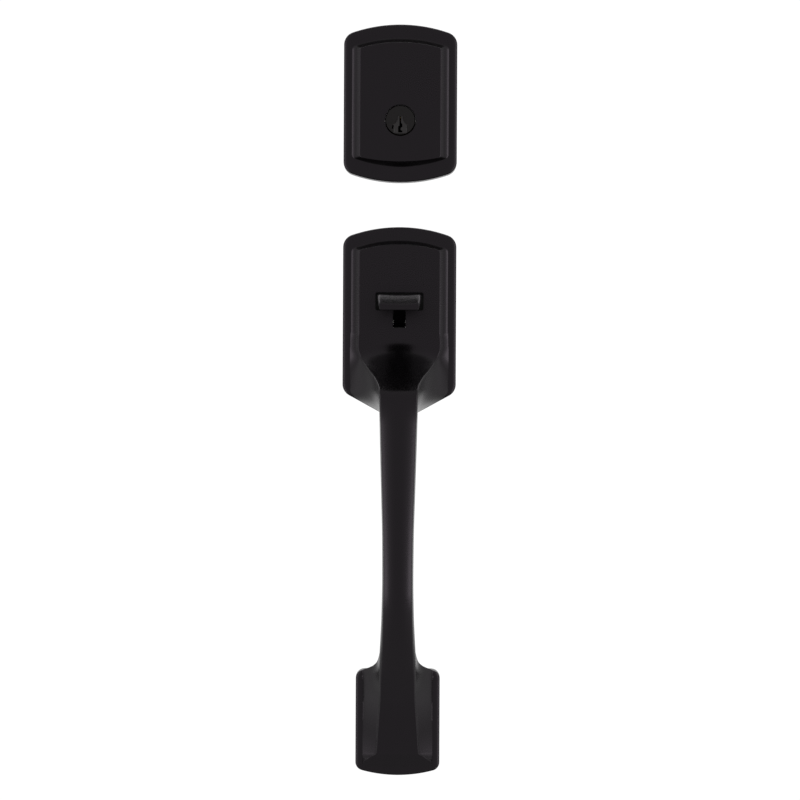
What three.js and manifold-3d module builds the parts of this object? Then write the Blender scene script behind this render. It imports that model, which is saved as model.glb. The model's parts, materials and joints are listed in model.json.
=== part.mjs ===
// Outside trim of an entrance handleset: a keyed deadbolt rose over a thumb-latch grip handle.
// Millimetres, +Z up, -Y out of the door. The origin is on the door's outside face, on the
// centre line of the latch bore, which is also the axis of the latch spindle.
import * as THREE from "three";
import { mergeVertices } from "three/addons/utils/BufferGeometryUtils.js";
import Module from "manifold-3d";

const wasm = await Module();
wasm.setup();

// ---------------------------------------------------------------- driving dimensions
const TRIM_WIDTH = 70; // both trims cover a 54 mm door bore
const BORE_SPACING = 139.7; // deadbolt bore above latch bore, 5 1/2 in
const GASKET = 1; // thickness of the seals on the door face
const FLANGE_DEPTH = 10; // door face to the front of the flat border
const PANEL_DEPTH = 15; // door face to the front of the raised panel
const WALL = 3; // casting wall
const BEVEL = 5.4; // width of the slope between border and panel
const BORDER = 4.6; // width of the flat border at the sides
const RUNNING_GAP = 0.3; // clearance round pieces that move

const ROSE = { top: 199.7, bottom: 102.3, arc: 91, corner: 8 };
const ESCUTCHEON = { top: 74.6, point: -46.2, arc: 91, corner: 8, tip: 5 };
const FOOT = { width: 51.9, top: -198.3, bottom: -263.8, arc: 84, corner: 5.3 };

const PLUG = { radius: 8.2, headRadius: 9.1, front: -15.2, headBack: -12.2, back: 12 };
const HOUSING = { radius: 12, front: -11.7, back: 11, bibleHalf: 4.5, bibleTop: 19.5 };
const PIN = { count: 5, first: 6.3, pitch: 3.81, radius: 1.45, holeRadius: 1.6 };
const KEY_PIN_LENGTHS = [6.6, 5.4, 7.4, 6, 7];
const DRIVER_LENGTH = 4.4;
const POST = { spacing: 35, radius: 3.5, stub: 2.4, reach: 24 };

const THUMB = { pivotY: -7.5, pivotZ: 16, pinRadius: 1.5, stemHalf: 3.5 };
const SPINDLE = { radius: 3.5, front: -11, back: 58, flat: 1 };
const SLOT = { wideHalf: 14.8, top: 34, shelf: 22.8, narrowHalf: 4, bottom: 12.1 };
const LEVER = { front: 3.2, back: 5.4, hubBack: 7.4 }; // clear of the thumbpiece's foot as it swings in
const LATCH_WINDOW = { left: -6, right: 14.6, bottom: -8, top: 16.5 }; // in the plate, for that foot

// ---------------------------------------------------------------- materials
const material = (color, roughness, metalness) =>
  new THREE.MeshStandardMaterial({ color, roughness, metalness });
const MATTE_BLACK = material(0x201f21, 0.55, 0.3);
const DARK_STEEL = material(0x2b2b2d, 0.4, 0.8);
const BLACK_STEEL = material(0x1b1b1c, 0.6, 0.4);
const STEEL = material(0xa4a6a8, 0.35, 0.9);
const BRASS = material(0xb4924a, 0.35, 0.9);
const ZINC = material(0x8d9093, 0.5, 0.8);
const RUBBER = material(0x161616, 0.9, 0);
const NYLON = material(0xd9d6cc, 0.6, 0);

// ---------------------------------------------------------------- solids
function solidOf(geometry) {
  const bare = geometry.clone();
  bare.deleteAttribute("normal");
  bare.deleteAttribute("uv");
  const merged = mergeVertices(bare, 1e-4);
  return new wasm.Manifold(
    new wasm.Mesh({
      numProp: 3,
      vertProperties: merged.attributes.position.array,
      triVerts: new Uint32Array(merged.index.array),
    }),
  );
}

function geometryOf(solid) {
  const mesh = solid.getMesh();
  const geometry = new THREE.BufferGeometry();
  geometry.setAttribute("position", new THREE.BufferAttribute(mesh.vertProperties, 3));
  geometry.setIndex(new THREE.BufferAttribute(mesh.triVerts, 1));
  geometry.computeVertexNormals();
  return geometry;
}

const join = (...geometries) =>
  geometryOf(geometries.map(solidOf).reduce((whole, next) => whole.add(next)));
const cut = (body, ...tools) =>
  geometryOf(tools.map(solidOf).reduce((left, tool) => left.subtract(tool), solidOf(body)));

// A box from its lowest corner to its highest.
function box(low, high) {
  const size = high.map((value, i) => value - low[i]);
  const middle = high.map((value, i) => (value + low[i]) / 2);
  return new THREE.BoxGeometry(...size).translate(...middle);
}

// A round bar along Y, from y0 to y1.
function barY(radius, y0, y1, x = 0, z = 0, sides = 20) {
  return new THREE.CylinderGeometry(radius, radius, y1 - y0, sides).translate(x, (y0 + y1) / 2, z);
}

// Round bars along X and along Z.
function barX(radius, x0, x1, y, z, sides = 16) {
  const bar = new THREE.CylinderGeometry(radius, radius, x1 - x0, sides);
  return bar.rotateZ(Math.PI / 2).translate((x0 + x1) / 2, y, z);
}

function barZ(radius, z0, z1, x, y, sides = 10) {
  const bar = new THREE.CylinderGeometry(radius, radius, z1 - z0, sides);
  return bar.rotateX(Math.PI / 2).translate(x, y, (z0 + z1) / 2);
}

const ringY = (outer, inner, y0, y1, x = 0, z = 0) =>
  cut(barY(outer, y0, y1, x, z), barY(inner, y0 - 1, y1 + 1, x, z));

// A lathed body about an axis along Y: profile points are [radius, y], y rising.
function turnedY(profile, x = 0, z = 0, sides = 16) {
  const points = profile.map(([radius, y]) => new THREE.Vector2(radius, y));
  return new THREE.LatheGeometry(points, sides).translate(x, 0, z);
}

// A flat outline of [x, z] points, given thickness from y0 to y1.
function plate(outline, y0, y1) {
  const shape = new THREE.Shape(outline.map(([x, z]) => new THREE.Vector2(x, z)));
  const slab = new THREE.ExtrudeGeometry(shape, { depth: y1 - y0, bevelEnabled: false });
  return slab.rotateX(Math.PI / 2).translate(0, y1, 0);
}

// A side outline of [y, z] points, given width from x0 to x1.
function sideProfile(outline, x0, x1) {
  const shape = new THREE.Shape(outline.map(([y, z]) => new THREE.Vector2(y, z)));
  const slab = new THREE.ExtrudeGeometry(shape, { depth: x1 - x0, bevelEnabled: false });
  const turn = new THREE.Matrix4().set(0, 0, 1, x0, 1, 0, 0, 0, 0, 1, 0, 0, 0, 0, 0, 1);
  return slab.applyMatrix4(turn);
}

// A closed body skinned over rings of equal point count; each end is closed by a fan.
function loft(rings) {
  const count = rings[0].length;
  const positions = rings.flat(2);
  const index = [];
  for (let r = 0; r + 1 < rings.length; r++)
    for (let i = 0; i < count; i++) {
      const next = (i + 1) % count;
      const a = r * count + i;
      const b = r * count + next;
      index.push(a, b, a + count, b, b + count, a + count);
    }
  const cap = (ring, first, flip) => {
    const middle = [0, 1, 2].map((k) => ring.reduce((sum, p) => sum + p[k], 0) / count);
    const centre = positions.push(...middle) / 3 - 1;
    for (let i = 0; i < count; i++) {
      const pair = [first + i, first + ((i + 1) % count)];
      if (flip) pair.reverse();
      index.push(centre, ...pair);
    }
  };
  cap(rings[0], 0, true);
  cap(rings[rings.length - 1], (rings.length - 1) * count, false);
  const geometry = new THREE.BufferGeometry();
  geometry.setAttribute("position", new THREE.Float32BufferAttribute(positions, 3));
  geometry.setIndex(index);
  if (solidOf(geometry).volume() > 0) return geometry;
  for (let i = 0; i < index.length; i += 3) [index[i], index[i + 1]] = [index[i + 1], index[i]];
  return geometry.setIndex(index);
}

// A smooth function through [z, value] points, z falling, with no overshoot between them.
function curveThrough(points) {
  const slope = (i) => (points[i + 1][1] - points[i][1]) / (points[i + 1][0] - points[i][0]);
  const tangents = points.map((_, i) => {
    if (i === 0) return slope(0);
    if (i === points.length - 1) return slope(i - 1);
    const before = slope(i - 1);
    const after = slope(i);
    return before * after <= 0 ? 0 : (2 * before * after) / (before + after);
  });
  return (z) => {
    if (z >= points[0][0]) return points[0][1];
    const i = points.findIndex(([nextZ], k) => k > 0 && z >= nextZ) - 1;
    if (i < 0) return points[points.length - 1][1];
    const span = points[i + 1][0] - points[i][0];
    const t = (z - points[i][0]) / span;
    const [t2, t3] = [t * t, t * t * t];
    return (
      (2 * t3 - 3 * t2 + 1) * points[i][1] +
      (t3 - 2 * t2 + t) * span * tangents[i] +
      (3 * t2 - 2 * t3) * points[i + 1][1] +
      (t3 - t2) * span * tangents[i + 1]
    );
  };
}

// ---------------------------------------------------------------- outlines of the trims
const ARC_STEPS = 6;
const CORNER_STEPS = 3;
const TIP_STEPS = 3;
const SLANT = (28.5 * Math.PI) / 180; // slope of the escutcheon's lower edges

// Quarter of an arched outline, from the crown to the straight side, as [x, height over crown].
function archedCorner(half, arc, corner) {
  const filletX = half - corner;
  const filletZ = -arc + Math.sqrt((arc - corner) ** 2 - filletX ** 2);
  const lean = Math.atan2(filletX, filletZ + arc);
  const crown = Array.from({ length: ARC_STEPS }, (_, i) => (lean * i) / ARC_STEPS);
  const turn = Array.from(
    { length: CORNER_STEPS + 1 },
    (_, i) => lean + ((Math.PI / 2 - lean) * i) / CORNER_STEPS,
  );
  return [
    ...crown.map((a) => [arc * Math.sin(a), arc * Math.cos(a) - arc]),
    ...turn.map((a) => [filletX + corner * Math.sin(a), filletZ + corner * Math.cos(a)]),
  ];
}

// Half of a pointed lower edge, from the point to the straight side, as [x, height].
function pointedCorner({ half, point, corner, tip }) {
  const rise = (x) => x * Math.tan(SLANT);
  const tipZ = point + tip / Math.cos(SLANT);
  const filletX = half - corner;
  const filletZ = point + rise(filletX) + corner / Math.cos(SLANT);
  const nose = Array.from({ length: TIP_STEPS }, (_, i) => (SLANT * i) / (TIP_STEPS - 1));
  const turn = Array.from(
    { length: CORNER_STEPS + 1 },
    (_, i) => SLANT + ((Math.PI / 2 - SLANT) * i) / CORNER_STEPS,
  );
  return [
    ...nose.map((a) => [tip * Math.sin(a), tipZ - tip * Math.cos(a)]),
    ...turn.map((a) => [filletX + corner * Math.sin(a), filletZ - corner * Math.cos(a)]),
  ];
}

// A closed outline from its upper and lower right-hand halves, each listed centre to side.
function closedOutline(upper, lower) {
  const mirrored = (points) => points.slice(1).map(([x, z]) => [-x, z]);
  return [...upper, ...[...lower].reverse(), ...mirrored(lower), ...mirrored(upper).reverse()];
}

const crowned = (top, half, arc, corner) =>
  archedCorner(half, arc, corner).map(([x, drop]) => [x, top + drop]);
const cupped = (bottom, half, arc, corner) =>
  archedCorner(half, arc, corner).map(([x, drop]) => [x, bottom - drop]);

// Skins outlines one above another: each layer is [outline, depth out of the door].
const layered = (layers) =>
  loft(layers.map(([outline, depth]) => outline.map(([x, z]) => [x, -depth, z])));

// The layers of a border with a rounded outer edge, from the door face to its front.
function borderLayers(outlineAt) {
  return [
    [outlineAt(0), GASKET],
    [outlineAt(0), FLANGE_DEPTH - 2.4],
    [outlineAt(0.7), FLANGE_DEPTH - 0.7],
    [outlineAt(2.4), FLANGE_DEPTH],
  ];
}

// ---------------------------------------------------------------- the two cover castings
const HALF = TRIM_WIDTH / 2;
const PANEL_FOOT_HALF = HALF - BORDER; // where the bevel meets the border
const PANEL_HALF = PANEL_FOOT_HALF - BEVEL;

const roseOutline = (inset) =>
  closedOutline(
    crowned(ROSE.top - inset, HALF - inset, ROSE.arc, ROSE.corner - inset * 0.8),
    cupped(ROSE.bottom + inset, HALF - inset, ROSE.arc, ROSE.corner - inset * 0.8),
  );

// The rose's raised panel: its lower crease is rounder than the edge above it.
const rosePanelFoot = closedOutline(
  crowned(ROSE.top - 9.2, PANEL_FOOT_HALF, 88, 3.5),
  cupped(ROSE.bottom + 8.7, PANEL_FOOT_HALF, 76, 3.5),
);
const rosePanelEdge = closedOutline(
  crowned(ROSE.top - 13, PANEL_HALF, 88, 2),
  cupped(ROSE.bottom + 12, PANEL_HALF, 120, 2),
);
const insetOutline = (outline, by, middleZ) => {
  const halfHeight = Math.max(...outline.map(([, z]) => Math.abs(z - middleZ)));
  const halfWidth = Math.max(...outline.map(([x]) => Math.abs(x)));
  const scale = [1 - by / halfWidth, 1 - by / halfHeight];
  return outline.map(([x, z]) => [x * scale[0], middleZ + (z - middleZ) * scale[1]]);
};

const ROSE_MIDDLE = (ROSE.top + ROSE.bottom) / 2;

function deadboltRose() {
  const shell = join(
    layered(borderLayers(roseOutline)),
    layered([
      [rosePanelFoot, FLANGE_DEPTH - 1],
      [rosePanelFoot, FLANGE_DEPTH],
      [rosePanelEdge, PANEL_DEPTH],
    ]),
  );
  const recess = layered([
    [roseOutline(WALL), 0],
    [roseOutline(WALL), FLANGE_DEPTH - WALL],
  ]);
  const pocket = layered([
    [insetOutline(rosePanelFoot, WALL, ROSE_MIDDLE), 1],
    [insetOutline(rosePanelFoot, WALL, ROSE_MIDDLE), FLANGE_DEPTH - WALL + 1],
    [insetOutline(rosePanelEdge, WALL, ROSE_MIDDLE), PANEL_DEPTH - WALL],
  ]);
  const hole = barY(PLUG.headRadius + RUNNING_GAP, -PANEL_DEPTH - 1, 0, 0, BORE_SPACING, 32);
  return cut(shell, recess, pocket, hole);
}

const escutcheonOutline = (inset) =>
  closedOutline(
    crowned(ESCUTCHEON.top - inset, HALF - inset, ESCUTCHEON.arc, ESCUTCHEON.corner - inset * 0.8),
    pointedCorner({
      half: HALF - inset,
      point: ESCUTCHEON.point + inset / Math.cos(SLANT),
      corner: ESCUTCHEON.corner - inset * 0.8,
      tip: ESCUTCHEON.tip,
    }),
  );

const footOutline = (inset) => {
  const half = FOOT.width / 2 - inset;
  const corner = FOOT.corner - inset * 0.8;
  return closedOutline(
    crowned(FOOT.top - inset, half, 600, corner),
    cupped(FOOT.bottom + inset, half, FOOT.arc, corner),
  );
};

// The bar of the handle, from the panel through the neck and grip to the foot, as smooth
// functions of height: how far its front and back stand out of the door, and its half widths.
const GRIP = {
  front: curveThrough([
    [5, 15.1], [2, 15.6], [0, 16.3], [-2, 17.7], [-5, 21], [-10, 28], [-15, 36], [-20, 44.4],
    [-24, 51], [-27, 54.8], [-30, 56.6], [-44, 57.2], [-80, 58.5], [-115, 59], [-145, 58],
    [-155, 56], [-165, 52.5], [-175, 48], [-185, 42.8], [-195, 37.2], [-203, 32.6], [-210, 28.6],
    [-217, 25.4], [-224, 23.2], [-232, 21.4], [-240, 19.6], [-244, 18.6], [-258.5, 10],
  ]),
  back: curveThrough([
    [0, 8], [-40, 8], [-43.5, 13], [-46, 23], [-50, 32], [-56, 39], [-65, 42.5], [-80, 44],
    [-115, 44.5], [-145, 44], [-160, 42], [-172, 38.5], [-182, 32.5], [-190, 24.5], [-196, 14],
    [-199, 8], [-258.5, 8],
  ]),
  frontHalf: curveThrough([
    [0, 25], [-5, 23.6], [-13, 18.6], [-20, 13.4], [-25, 11.4], [-32, 10.6], [-44, 10.2],
    [-68, 9.6], [-92, 9], [-116, 8.4], [-140, 8.1], [-163, 8.4], [-176, 8.6], [-189, 8.9],
    [-215, 10.2], [-227, 11.2], [-240, 12.4], [-244, 12.8], [-258.5, 19.5],
  ]),
  sideHalf: curveThrough([
    [0, 26], [-5, 24.9], [-13, 19.8], [-20, 14.4], [-25, 12.4], [-32, 11.8], [-44, 11.6],
    [-68, 10.8], [-92, 10.1], [-116, 9.5], [-140, 9.35], [-163, 9.8], [-176, 10.4], [-189, 11],
    [-215, 11.6], [-227, 12.6], [-240, 13.6], [-244, 14], [-258.5, 20.5],
  ]),
  backHalf: curveThrough([
    [0, 30.4], [-26, 30.4], [-29, 29.2], [-31, 26.9], [-33, 23.6], [-35, 20], [-37, 16.4],
    [-39, 12.8], [-41, 9.6], [-43, 7.2], [-45, 6.2], [-50, 6.8], [-60, 8.2], [-80, 8.4],
    [-115, 8], [-145, 7.8], [-165, 8.4], [-178, 9.6], [-186, 11], [-192, 12.6], [-196, 16],
    [-199, 21.5], [-244, 21.5], [-258.5, 20.5],
  ]),
  heights: [
    4, 0, -3, -6, -10, -14, -18, -22, -26, -29, -32, -35, -38, -41, -44, -47, -51, -57, -66,
    -82, -106, -130, -145, -157, -168, -177, -185, -190, -193, -196, -199, -206, -213, -220,
    -228, -236, -244, -258.5,
  ],
};

const MIDDLE_SHARE = 0.4; // how far the bar's hollow sides have flared at half depth

function gripSection(z) {
  const [front, back] = [GRIP.front(z), GRIP.back(z)];
  const [frontHalf, sideHalf, backHalf] = [GRIP.frontHalf(z), GRIP.sideHalf(z), GRIP.backHalf(z)];
  const middleHalf = sideHalf + (backHalf - sideHalf) * MIDDLE_SHARE;
  const right = [
    [frontHalf * 0.5, front + 0.3],
    [frontHalf, front],
    [sideHalf, front - Math.min(1.6, (front - back) * 0.2)],
    [middleHalf, (front + back) / 2],
    [backHalf, back + (front - back) * 0.12],
    [backHalf * 0.8, back],
  ];
  const left = right.map(([x, depth]) => [-x, depth]).reverse();
  return [[0, front + 0.4], ...right, ...left].map(([x, depth]) => [x, -depth, z]);
}

const escutcheonPanelFoot = closedOutline(
  crowned(ESCUTCHEON.top - 9.2, PANEL_FOOT_HALF, 88, 3.5),
  cupped(-1, PANEL_FOOT_HALF, 600, 0.5),
);
const escutcheonPanelEdge = closedOutline(
  crowned(ESCUTCHEON.top - 13, PANEL_HALF, 88, 2),
  cupped(-1, PANEL_HALF, 600, 0.5),
);

const POCKET = { half: 23, top: 57, bottom: -26 };
const PLATE_SCREWS = [
  [-19, 50], [19, 50], [-17.5, -14], [17.5, -14],
];
const BEARING = { outer: 7, inner: 5, front: -11.4, back: -6 };
const FOOT_POST_Z = -231;

function handleCasting() {
  const body = join(
    layered(borderLayers(escutcheonOutline)),
    layered([
      [escutcheonPanelFoot, FLANGE_DEPTH - 1],
      [escutcheonPanelFoot, FLANGE_DEPTH],
      [escutcheonPanelEdge, PANEL_DEPTH],
    ]),
    loft(GRIP.heights.map(gripSection)),
    layered(borderLayers(footOutline)),
  );
  const pocketFloor = -PANEL_DEPTH + WALL;
  const pocket = box([-POCKET.half, pocketFloor, POCKET.bottom], [POCKET.half, 1, POCKET.top]);
  const footPocket = box([-12, -6.5, -242], [12, 1, -206]);
  const slotWide = box(
    [-SLOT.wideHalf, -PANEL_DEPTH - 1, SLOT.shelf],
    [SLOT.wideHalf, pocketFloor + 1, SLOT.top],
  );
  const slotNarrow = box(
    [-SLOT.narrowHalf, -PANEL_DEPTH - 1, SLOT.bottom],
    [SLOT.narrowHalf, pocketFloor + 1, SLOT.shelf + 1],
  );
  const hollow = cut(body, pocket, footPocket, slotWide, slotNarrow);
  const screwBosses = PLATE_SCREWS.map(([x, z]) => barY(3.6, pocketFloor - 0.5, -3.2, x, z, 16));
  const bearingBoss = barY(BEARING.outer, pocketFloor - 0.5, BEARING.back);
  const footBoss = barY(6.5, -10, -1.5, 0, FOOT_POST_Z);
  const solid = join(hollow, ...screwBosses, bearingBoss, footBoss);
  const screwHoles = PLATE_SCREWS.map(([x, z]) => barY(1.7, -8.5, 0, x, z, 12));
  const bracketHoles = BRACKET_SCREWS.map(([x, z]) => barY(1.6, -13.6, -11, x, z, 12));
  const bearingHole = barY(BEARING.inner, BEARING.front - 0.3, 0);
  const footHole = barY(4.2, -8.3, 0, 0, FOOT_POST_Z);
  return cut(solid, ...screwHoles, ...bracketHoles, bearingHole, footHole);
}

// ---------------------------------------------------------------- seals on the door face
const SEAL = { inset: 0.4, width: 2.4 };

// A sheet of seal behind a trim: outlineAt(inset) gives the trim's outline.
function sheet(outlineAt, inset, front, back) {
  return layered([[outlineAt(inset), -back], [outlineAt(inset), -front]]);
}

// A narrow seal that follows a trim's rim.
function rimSeal(outlineAt) {
  const inside = sheet(outlineAt, SEAL.inset + SEAL.width, -GASKET - 1, 1);
  return cut(sheet(outlineAt, SEAL.inset, -GASKET, 0), inside);
}

// The escutcheon's seal is a whole sheet, with openings for the latch, the posts and the screws.
function handleSeal() {
  const { left, right, bottom } = LATCH_WINDOW;
  const latch = box([left - 0.5, -2, bottom - 1], [right + 0.4, 1, 13]);
  const holes = [
    ...[-1, 1].map((side) => barY(POST.radius + 0.5, -2, 1, (side * POST.spacing) / 2, 0)),
    ...PLATE_SCREWS.map(([x, z]) => barY(3.3, -2, 1, x, z)),
  ];
  return cut(sheet(escutcheonOutline, SEAL.inset, -GASKET, 0), latch, ...holes);
}

// ---------------------------------------------------------------- deadbolt cylinder
// These pieces are built about the cylinder's axis, and the group lifts them to its height.
const pinY = (n) => PLUG.front + PIN.first + n * PIN.pitch;

// The keyway's outline: a narrow slot over a wide foot, with a ward standing in from the right.
const KEYWAY = [
  [-0.5, 2.4], [0.5, 2.4], [0.5, -1.4], [1.3, -2.4], [1.3, -4], [0.3, -4.6], [0.3, -6],
  [1.3, -6.4], [1.3, -7.4], [-1.3, -7.4], [-1.3, -3.6], [-0.5, -3.4],
];
const keywayCutter = (y0, y1) => plate(KEYWAY, y0, y1);

// The hardened face of the plug: a shallow bell-shaped lead-in round the key's way in, and the
// small tilted slot for the rekeying tool beside it.
function plugFace() {
  const { headRadius, front, headBack } = PLUG;
  const disc = turnedY([
    [0, front], [headRadius - 0.5, front], [headRadius, front + 0.5], [headRadius, headBack],
    [0, headBack],
  ], 0, 0, 32);
  const bell = plate([
    [-1.6, 2.6], [1.6, 2.6], [2.2, -0.4], [3.9, -2.4], [3.9, -7.9], [-3.9, -7.9], [-3.9, -2.4],
    [-2.2, -0.4],
  ], front - 1, front + 0.7);
  const toolSlot = box([-0.5, front - 1, -1], [0.5, headBack + 1, 1]);
  toolSlot.rotateY(THREE.MathUtils.degToRad(-14)).translate(-4.9, 0, -3.8);
  return cut(disc, bell, keywayCutter(front - 1, headBack + 1), toolSlot);
}

// The brass plug: five pin holes over the keyway, and a slot at the back for the tailpiece.
function plug() {
  const { radius, headBack, back } = PLUG;
  const body = join(
    barY(radius, headBack, back, 0, 0, 32),
    barY(PLUG.headRadius, headBack, headBack + 0.4, 0, 0, 32),
  );
  const holes = Array.from({ length: PIN.count }, (_, n) =>
    barZ(PIN.holeRadius, -1.6, radius + 1, 0, pinY(n)),
  );
  const clipGroove = ringY(radius + 1, radius - 0.7, HOUSING.back + 0.15, HOUSING.back + 0.75);
  const tailSlot = box([-3.1, back - 2.5, -1.3], [3.1, back + 1, 1.3]);
  return cut(body, keywayCutter(headBack - 1, back - 3.5), ...holes, clipGroove, tailSlot);
}

// The clip behind the housing that keeps the plug from being drawn out, open at the bottom.
function plugClip() {
  const y0 = HOUSING.back + 0.25;
  const clip = ringY(PLUG.radius + 1.4, PLUG.radius - 0.6, y0, y0 + 0.4);
  return cut(clip, box([-4, y0 - 1, -12], [4, y0 + 1, -3]));
}

// The flat tail that turns the bolt: a stepped blade, scored so that it can be shortened.
function tailpiece() {
  const root = PLUG.back - 2.4;
  const blade = box([-2.8, root, -1.1], [2.8, 62, 1.1]);
  const scores = [34, 40, 46, 52].map((y) => box([-4, y, 0.9], [4, y + 0.6, 2]));
  return cut(blade, ...scores);
}

// The zinc housing: a barrel round the plug, a tower over it for the drivers and springs, and
// an ear at each side that a mounting post screws into.
function cylinderHousing() {
  const { radius, front, back, bibleHalf, bibleTop } = HOUSING;
  const earX = POST.spacing / 2;
  const body = join(
    barY(radius, front, back, 0, 0, 32),
    box([-bibleHalf, front + 1, 4], [bibleHalf, back, bibleTop]),
    box([-earX, -7, -4.5], [earX, -2.2, 4.5]),
    barY(4.8, -7, -2.2, -earX, 0, 24),
    barY(4.8, -7, -2.2, earX, 0, 24),
  );
  const bore = barY(PLUG.radius + RUNNING_GAP, front - 1, back + 1, 0, 0, 32);
  const wells = Array.from({ length: PIN.count }, (_, n) =>
    barZ(PIN.holeRadius, 6, bibleTop + 1, 0, pinY(n)),
  );
  const guards = [-1, 1].map((side) => barY(1.1, front - 1, front + 7, side * 10.2, 0, 12));
  const studs = [-1, 1].map((side) => barY(POST.stub + 0.2, -6, 0, side * earX, 0, 20));
  return cut(body, bore, ...wells, ...guards, ...studs);
}

const keyPin = (length) =>
  turnedY([
    [0, -length], [0.35, -length], [PIN.radius, -length + 1.3], [PIN.radius, -0.3], [0, 0],
  ], 0, 0, 10).rotateX(Math.PI / 2);
const driverPin = () =>
  turnedY([
    [0, 0], [PIN.radius - 0.3, 0], [PIN.radius, 0.3], [PIN.radius, DRIVER_LENGTH], [0, DRIVER_LENGTH],
  ], 0, 0, 10).rotateX(Math.PI / 2);

// A coil spring along +Z from the origin, its ends closed by their own flat turns.
function coilSpring(radius, wire, height, turns, stepsPerTurn = 6, sides = 4) {
  const steps = Math.round(turns * stepsPerTurn);
  const points = Array.from({ length: steps + 1 }, (_, i) => {
    const share = i / steps;
    const angle = share * turns * 2 * Math.PI;
    const z = wire + share * (height - 2 * wire);
    return new THREE.Vector3(radius * Math.cos(angle), radius * Math.sin(angle), z);
  });
  const section = new THREE.Shape(
    Array.from({ length: sides }, (_, i) => {
      const angle = (2 * Math.PI * i) / sides;
      return new THREE.Vector2(wire * Math.cos(angle), wire * Math.sin(angle));
    }),
  );
  return new THREE.ExtrudeGeometry(section, {
    steps: steps,
    extrudePath: new THREE.CatmullRomCurve3(points),
    bevelEnabled: false,
  });
}

// The strip that closes the five spring wells.
function springCover() {
  const { front, back, bibleHalf, bibleTop } = HOUSING;
  return box([-bibleHalf, front + 1, bibleTop], [bibleHalf, back, bibleTop + 0.8]);
}

// A standoff that the inside trim's screw draws against: a stub in its plate or housing, then
// a thicker shank behind the shoulder, bored from the back.
function mountingPost(front, shoulder) {
  const { stub, radius, reach } = POST;
  const body = turnedY([
    [0, front], [stub, front], [stub, shoulder], [radius, shoulder], [radius, reach - 0.6],
    [radius - 0.6, reach], [0, reach],
  ]);
  return cut(body, barY(1.9, reach - 16, reach + 1, 0, 0, 14));
}

// The steel plate that bridges the door bore behind the rose.
function deadboltPlate() {
  const earX = POST.spacing / 2;
  const body = layered([
    [insetOutline(roseOutline(WALL), 3.5, ROSE_MIDDLE), 0.2],
    [insetOutline(roseOutline(WALL), 3.5, ROSE_MIDDLE), 2],
  ]);
  const holes = [-1, 1].map((side) => barY(POST.radius + 0.2, -3, 1, side * earX, BORE_SPACING, 20));
  const bore = barY(12.4, -3, 1, 0, BORE_SPACING, 32);
  const bible = box([-5, -3, BORE_SPACING], [5, 1, BORE_SPACING + HOUSING.bibleTop + 1.3]);
  return cut(body, ...holes, bore, bible);
}

// ---------------------------------------------------------------- thumb latch
const BRACKET_SCREWS = [[-13.5, 13], [13.5, 13]];

// The thumbpiece's pad: [depth out of the door, half width, top, underside] along its length.
const PAD = [
  [19.5, 12.4, 31, 28.4], [21, 13.2, 31.6, 27.6], [28, 13.4, 32.2, 27], [36, 13.3, 32.7, 26.6],
  [41.5, 13, 32.9, 26], [44, 12.8, 32.4, 25.4], [46, 12.6, 31.5, 25], [50, 12.3, 29.2, 24.2],
  [52.2, 12.1, 27.8, 24], [53.4, 11.7, 26.8, 24.3],
];

// One cross-section of the pad, dished between raised side rims.
function padSection([depth, half, top, under]) {
  const rim = 1.2;
  const dish = Math.min(1.1, (top - under) * 0.3);
  const right = [
    [half * 0.5, top - dish * 0.8], [half - rim * 1.6, top - dish * 0.2], [half - rim * 0.8, top],
    [half, top - 0.7], [half, under + 0.9], [half - 1, under],
  ];
  const left = right.map(([x, z]) => [-x, z]).reverse();
  return [[0, top - dish], ...right, ...left].map(([x, z]) => [x, -depth, z]);
}

function thumbpiece() {
  const { pivotY, pivotZ, pinRadius, stemHalf } = THUMB;
  const stem = sideProfile([
    [-30, 27.6], [-19, 29], [-15, 25], [-11.5, 20.2], [-7, 20.1], [-4, 17.6], [-3.2, 12], [-1, 6.7],
    [-1, 4.4], [-3.6, 4.4], [-6.4, 11], [-9.6, 12.4], [-11.4, 15], [-15.4, 16.6], [-19, 21],
    [-30, 25],
  ], -stemHalf, stemHalf);
  const crossbar = box([-stemHalf, -3.4, 4.4], [13, -0.9, 6.5]);
  const finger = box([3.3, -1.1, 4.4], [13, LEVER.back + 0.8, 6.5]);
  const body = join(loft(PAD.map(padSection)), stem, crossbar, finger);
  return cut(body, barX(pinRadius + 0.15, -9, 9, pivotY, pivotZ));
}

// The steel bracket behind the panel: two ears hold the pivot pin.
function thumbBracket() {
  const floor = -PANEL_DEPTH + WALL;
  const base = cut(
    box([-18, floor, 8.6], [18, floor + 1.5, 22]),
    box([-5.6, floor - 1, 11], [5.6, floor + 3, 23]),
    ...BRACKET_SCREWS.map(([x, z]) => barY(1.7, floor - 1, floor + 3, x, z, 12)),
  );
  const ear = (side) => {
    const [x0, x1] = side < 0 ? [-5.9, -4.3] : [4.3, 5.9];
    return sideProfile([
      [floor, 11.6], [-7, 11.6], [-4.2, 14], [-4.2, 18], [-7, 20.6], [floor, 20.6],
    ], x0, x1);
  };
  const foot = box([-5.9, floor, 8.6], [5.9, floor + 1.5, 12.6]);
  const body = join(base, ear(-1), ear(1), foot);
  return cut(body, barX(THUMB.pinRadius + 0.02, -9, 9, THUMB.pivotY, THUMB.pivotZ));
}

// The pivot pin, with a head at one end.
function thumbPin() {
  const { pinRadius, pivotY, pivotZ } = THUMB;
  return join(
    barX(pinRadius, -6.2, 12.4, pivotY, pivotZ),
    barX(pinRadius + 0.9, -7.2, -6.1, pivotY, pivotZ),
  );
}

// Torsion spring on the long end of the pin: three turns about X.
function thumbSpring() {
  const coil = coilSpring(2.4, 0.4, 5, 3.5, 8, 5);
  return coil.rotateY(Math.PI / 2).translate(6.6, THUMB.pivotY, THUMB.pivotZ);
}

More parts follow.
